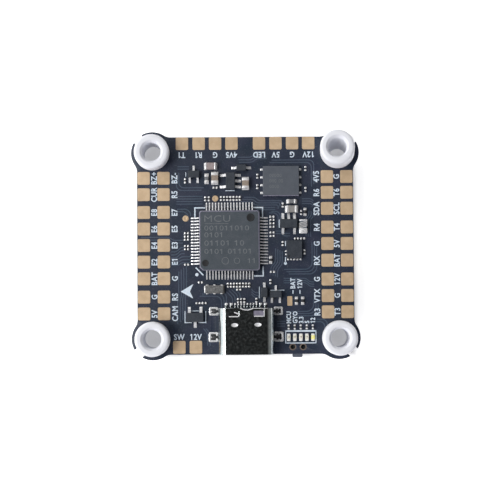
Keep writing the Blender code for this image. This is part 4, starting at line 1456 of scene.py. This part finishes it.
def make_air_sensor():
    node = "barometer"
    bm, length, width, height = started(node)
    add_block(bm, 0, (length, width, 0.3), (0, 0, 0.2), 0.03)
    add_block(
        bm, 1, (length - 0.2, width - 0.2, height - 0.35), (0, 0, (height + 0.35) / 2), 0.08, 3
    )
    add(bm, drum(0.13, height - 0.02, height + 0.005, 20), at(-0.45, 0.7), 0)
    finishes = ("black ceramic", "bright steel")
    make_piece("air_sensor", bm, finishes, replaces=[node], place=spot(node))


def finish_insulator():
    """Gives the socket's insulator, which stays as the CAD has it, its finish."""
    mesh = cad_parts["usb_insulator"].data
    mesh.materials.clear()
    mesh.materials.append(finish("black moulding"))


# The stage.


def aim(obj, target, roll=0.0):
    """Turns a light or the camera to face a point, with +Y as near to its top as it can be."""
    ahead = (Vector(target) - obj.location).normalized()
    right = ahead.cross(Vector((0, 1, 0))).normalized()
    facing = Matrix((right, right.cross(ahead), -ahead)).transposed().to_4x4()
    obj.matrix_world = Matrix.Translation(obj.location) @ facing @ Matrix.Rotation(roll, 4, "Z")


def make_floor(settings):
    bm = bmesh.new()
    bmesh.ops.create_grid(bm, x_segments=8, y_segments=8, size=1.5)
    mesh = bpy.data.meshes.new("floor")
    bm.to_mesh(mesh)
    bm.free()
    floor = bpy.data.objects.new("floor", mesh)
    bpy.context.scene.collection.objects.link(floor)
    tree = tinted_finish(
        "paper", settings.floor_colour, 0.985, 12, 0.0, 0.7, 0.8, 0, 3000, 0.05, 1e-5
    )
    # The floor's glow is painted light that hides the board's cast shadow; it drops to 0.3 under the board,
    # which paints shade there.
    folded = combined(tree, "ShaderNodeVectorMath", "ABSOLUTE", coordinates(tree))
    axes = split_axes(tree, folded)
    outer = combined(tree, "ShaderNodeMath", "MAXIMUM", axes["X"], axes["Y"])
    board_edge = BOARD_HALF_X * MM
    glow_dimmed_under_board = ranged(tree, outer, board_edge, board_edge * 1.06, To_Min=0.3)
    shader = tree.nodes["Principled BSDF"]
    feed(tree, shader, Emission_Strength=settings.glow, Emission_Color=glow_dimmed_under_board)
    mesh.materials.append(finish("paper"))


# Lights: name, place and size in metres, power in watts, and colour.
LIGHTS = (
    ("key_light", (-0.265, -0.045, 0.4), 0.18, 1.36, (1.0, 0.99, 0.97)),
    ("rear_light", (-0.14, 0.30, 0.46), 0.3, 0.9, (1.0, 1.0, 1.0)),
    ("front_light", (-0.12, -0.46, 0.22), 0.3, 0.7, (0.95, 0.95, 1.0)),
)
# How bright each side of the room is, seen from the board, and its colour.
ROOM_SIDES = (
    ("X", -0.5, -0.72, 2.0, (1.0, 1.0, 1.0)),
    ("X", 0.3, 0.85, 0.4, (1.0, 0.98, 0.97)),
    ("Y", -0.6, -0.8, 0.6, (0.86, 0.86, 1.0)),
    ("Y", 0.6, 0.8, 0.45, (0.95, 0.97, 1.0)),
)


def make_room(settings):
    """A room that is dark straight overhead and paler towards each side."""
    world = bpy.data.worlds.new("studio")
    world.use_nodes = True
    tree = world.node_tree
    axes = split_axes(tree, coordinates(tree, "Generated"))
    total = ranged(tree, axes["Z"], 0.1, 0.82, To_Min=0.5, To_Max=0.02)
    for axis, start, end, strength, colour in ROOM_SIDES:
        side = ranged(tree, axes[axis], start, end, To_Max=strength)
        tint = mixed(tree, side, (0, 0, 0, 1), (*colour, 1), clamp=False)
        total = combined(tree, "ShaderNodeVectorMath", "MAXIMUM", total, tint)
    feed(tree, tree.nodes["Background"], Strength=settings.sky, Color=total)
    bpy.context.scene.world = world


def make_lights(settings):
    for name, place, size, power, colour in LIGHTS:
        light = bpy.data.lights.new(name, "AREA")
        light.energy = power * settings.brightness
        light.size = size
        light.color = colour
        obj = bpy.data.objects.new(name, light)
        obj.location = place
        bpy.context.scene.collection.objects.link(obj)
        aim(obj, (0, 0, 0))


def make_camera(settings):
    camera = bpy.data.cameras.new("camera")
    camera.lens = settings.lens
    camera.clip_start = 0.01
    obj = bpy.data.objects.new("camera", camera)
    obj.location = settings.camera_place
    bpy.context.scene.collection.objects.link(obj)
    aim(obj, settings.camera_target, settings.camera_roll)
    bpy.context.scene.camera = obj


# Settings.


class MountSettings(bpy.types.PropertyGroup):
    tint: bpy.props.FloatVectorProperty(
        name="Silicone Colour", description="Colour of the soft mounts", subtype="COLOR",
        size=3, min=0, max=1, default=(0.195, 0.23, 0.305),
    )
    softness: bpy.props.FloatProperty(
        name="Translucency", description="How much light goes into the silicone",
        subtype="FACTOR", min=0, max=1, default=0.8,
    )


class StageSettings(bpy.types.PropertyGroup):
    floor_colour: bpy.props.FloatVectorProperty(
        name="Floor Colour", description="Colour of the floor", subtype="COLOR",
        size=3, min=0, max=1, default=(0.9, 0.9, 0.9),
    )
    glow: bpy.props.FloatProperty(
        name="Floor Glow", description="Light that comes up through the floor", min=0, default=0.75,
    )
    brightness: bpy.props.FloatProperty(
        name="Brightness", description="Factor on the power of every light", min=0, default=0.75,
    )
    sky: bpy.props.FloatProperty(
        name="Room", description="Strength of the light from the room", min=0, default=0.75,
    )
    lens: bpy.props.FloatProperty(
        name="Focal Length", description="Focal length of the camera in millimetres",
        min=1, default=104.75,
    )
    camera_place: bpy.props.FloatVectorProperty(
        name="Camera Place", description="Where the camera stands", subtype="TRANSLATION",
        unit="LENGTH", size=3, default=(-0.0015, -0.01, 0.24),
    )
    camera_target: bpy.props.FloatVectorProperty(
        name="Camera Target", description="What the camera looks at", subtype="TRANSLATION",
        unit="LENGTH", size=3, default=(0.00015, -0.0002, 0.0048),
    )
    camera_roll: bpy.props.FloatProperty(
        name="Camera Roll", description="Turn of the camera about its own axis",
        subtype="ANGLE", default=math.radians(-0.41),
    )


# Operators.


class PieceMaker:
    """Runs an operator's steps in order"""

    def execute(self, context):
        for step in self.steps:
            step()
        return {"FINISHED"}


class BOARD_OT_bare(PieceMaker, bpy.types.Operator):
    """Makes the laminate, its copper tracks, its gold pads and its print"""

    bl_idname = "board.bare"
    bl_label = "Bare Board"
    steps = (make_laminate, make_tracks, make_pads, make_labels, make_marks)


class BOARD_OT_mounts(PieceMaker, bpy.types.Operator):
    """Makes the four silicone mounts"""

    bl_idname = "board.mounts"
    bl_label = "Soft Mounts"
    steps = (make_mounts,)


class BOARD_OT_parts(PieceMaker, bpy.types.Operator):
    """Makes the soldered parts on the top, and the video chip and regulators underneath"""

    bl_idname = "board.parts"
    bl_label = "Soldered Parts"
    steps = (
        make_processor, make_packages, make_memory_chip, make_motion_sensor, make_chips,
        make_tiny_chips, make_resonator, make_wound_inductor, make_lamps,
    )


class BOARD_OT_usb(PieceMaker, bpy.types.Operator):
    """Makes the USB socket's shell, contacts and solder, and finishes its insulator"""

    bl_idname = "board.usb"
    bl_label = "USB Socket"
    steps = (make_usb_shell, make_usb_joints, finish_insulator)


class BOARD_OT_under(PieceMaker, bpy.types.Operator):
    """Makes the boot button, the connector, the power inductors and the air pressure sensor"""

    bl_idname = "board.under"
    bl_label = "Parts Under the Board"
    steps = (make_button, make_connector, make_power_parts, make_air_sensor)


class BOARD_OT_stage(bpy.types.Operator):
    """Makes the floor, the lights and the camera"""

    bl_idname = "board.stage"
    bl_label = "Stage"

    def execute(self, context):
        settings = context.scene.board_stage
        make_floor(settings)
        make_lights(settings)
        make_room(settings)
        make_camera(settings)
        context.scene.view_settings.view_transform = "Standard"
        return {"FINISHED"}


OPERATORS = (
    BOARD_OT_bare,
    BOARD_OT_mounts,
    BOARD_OT_parts,
    BOARD_OT_usb,
    BOARD_OT_under,
    BOARD_OT_stage,
)


class BOARD_PT_pieces(bpy.types.Panel):
    """Lists the pieces of the board"""

    bl_idname = "BOARD_PT_pieces"
    bl_label = "Flight Controller Board"
    bl_space_type = "VIEW_3D"
    bl_region_type = "UI"
    bl_category = "Board"

    def draw(self, context):
        scene = context.scene
        for operator in OPERATORS:
            self.layout.operator(operator.bl_idname)
        for settings in (scene.board_mounts, scene.board_stage):
            for label in settings.__annotations__:
                self.layout.prop(settings, label)


SETTINGS = (MountSettings, StageSettings)
CLASSES = SETTINGS + OPERATORS + (BOARD_PT_pieces,)


def register():
    for cls in CLASSES:
        bpy.utils.register_class(cls)
    bpy.types.Scene.board_mounts = bpy.props.PointerProperty(type=MountSettings)
    bpy.types.Scene.board_stage = bpy.props.PointerProperty(type=StageSettings)


def unregister():
    del bpy.types.Scene.board_stage
    del bpy.types.Scene.board_mounts
    for cls in reversed(CLASSES):
        bpy.utils.unregister_class(cls)


def main():
    register()
    bpy.ops.board.bare()
    bpy.ops.board.mounts()
    bpy.ops.board.parts()
    bpy.ops.board.usb()
    bpy.ops.board.under()
    bpy.ops.board.stage()


if __name__ == "__main__":
    main()
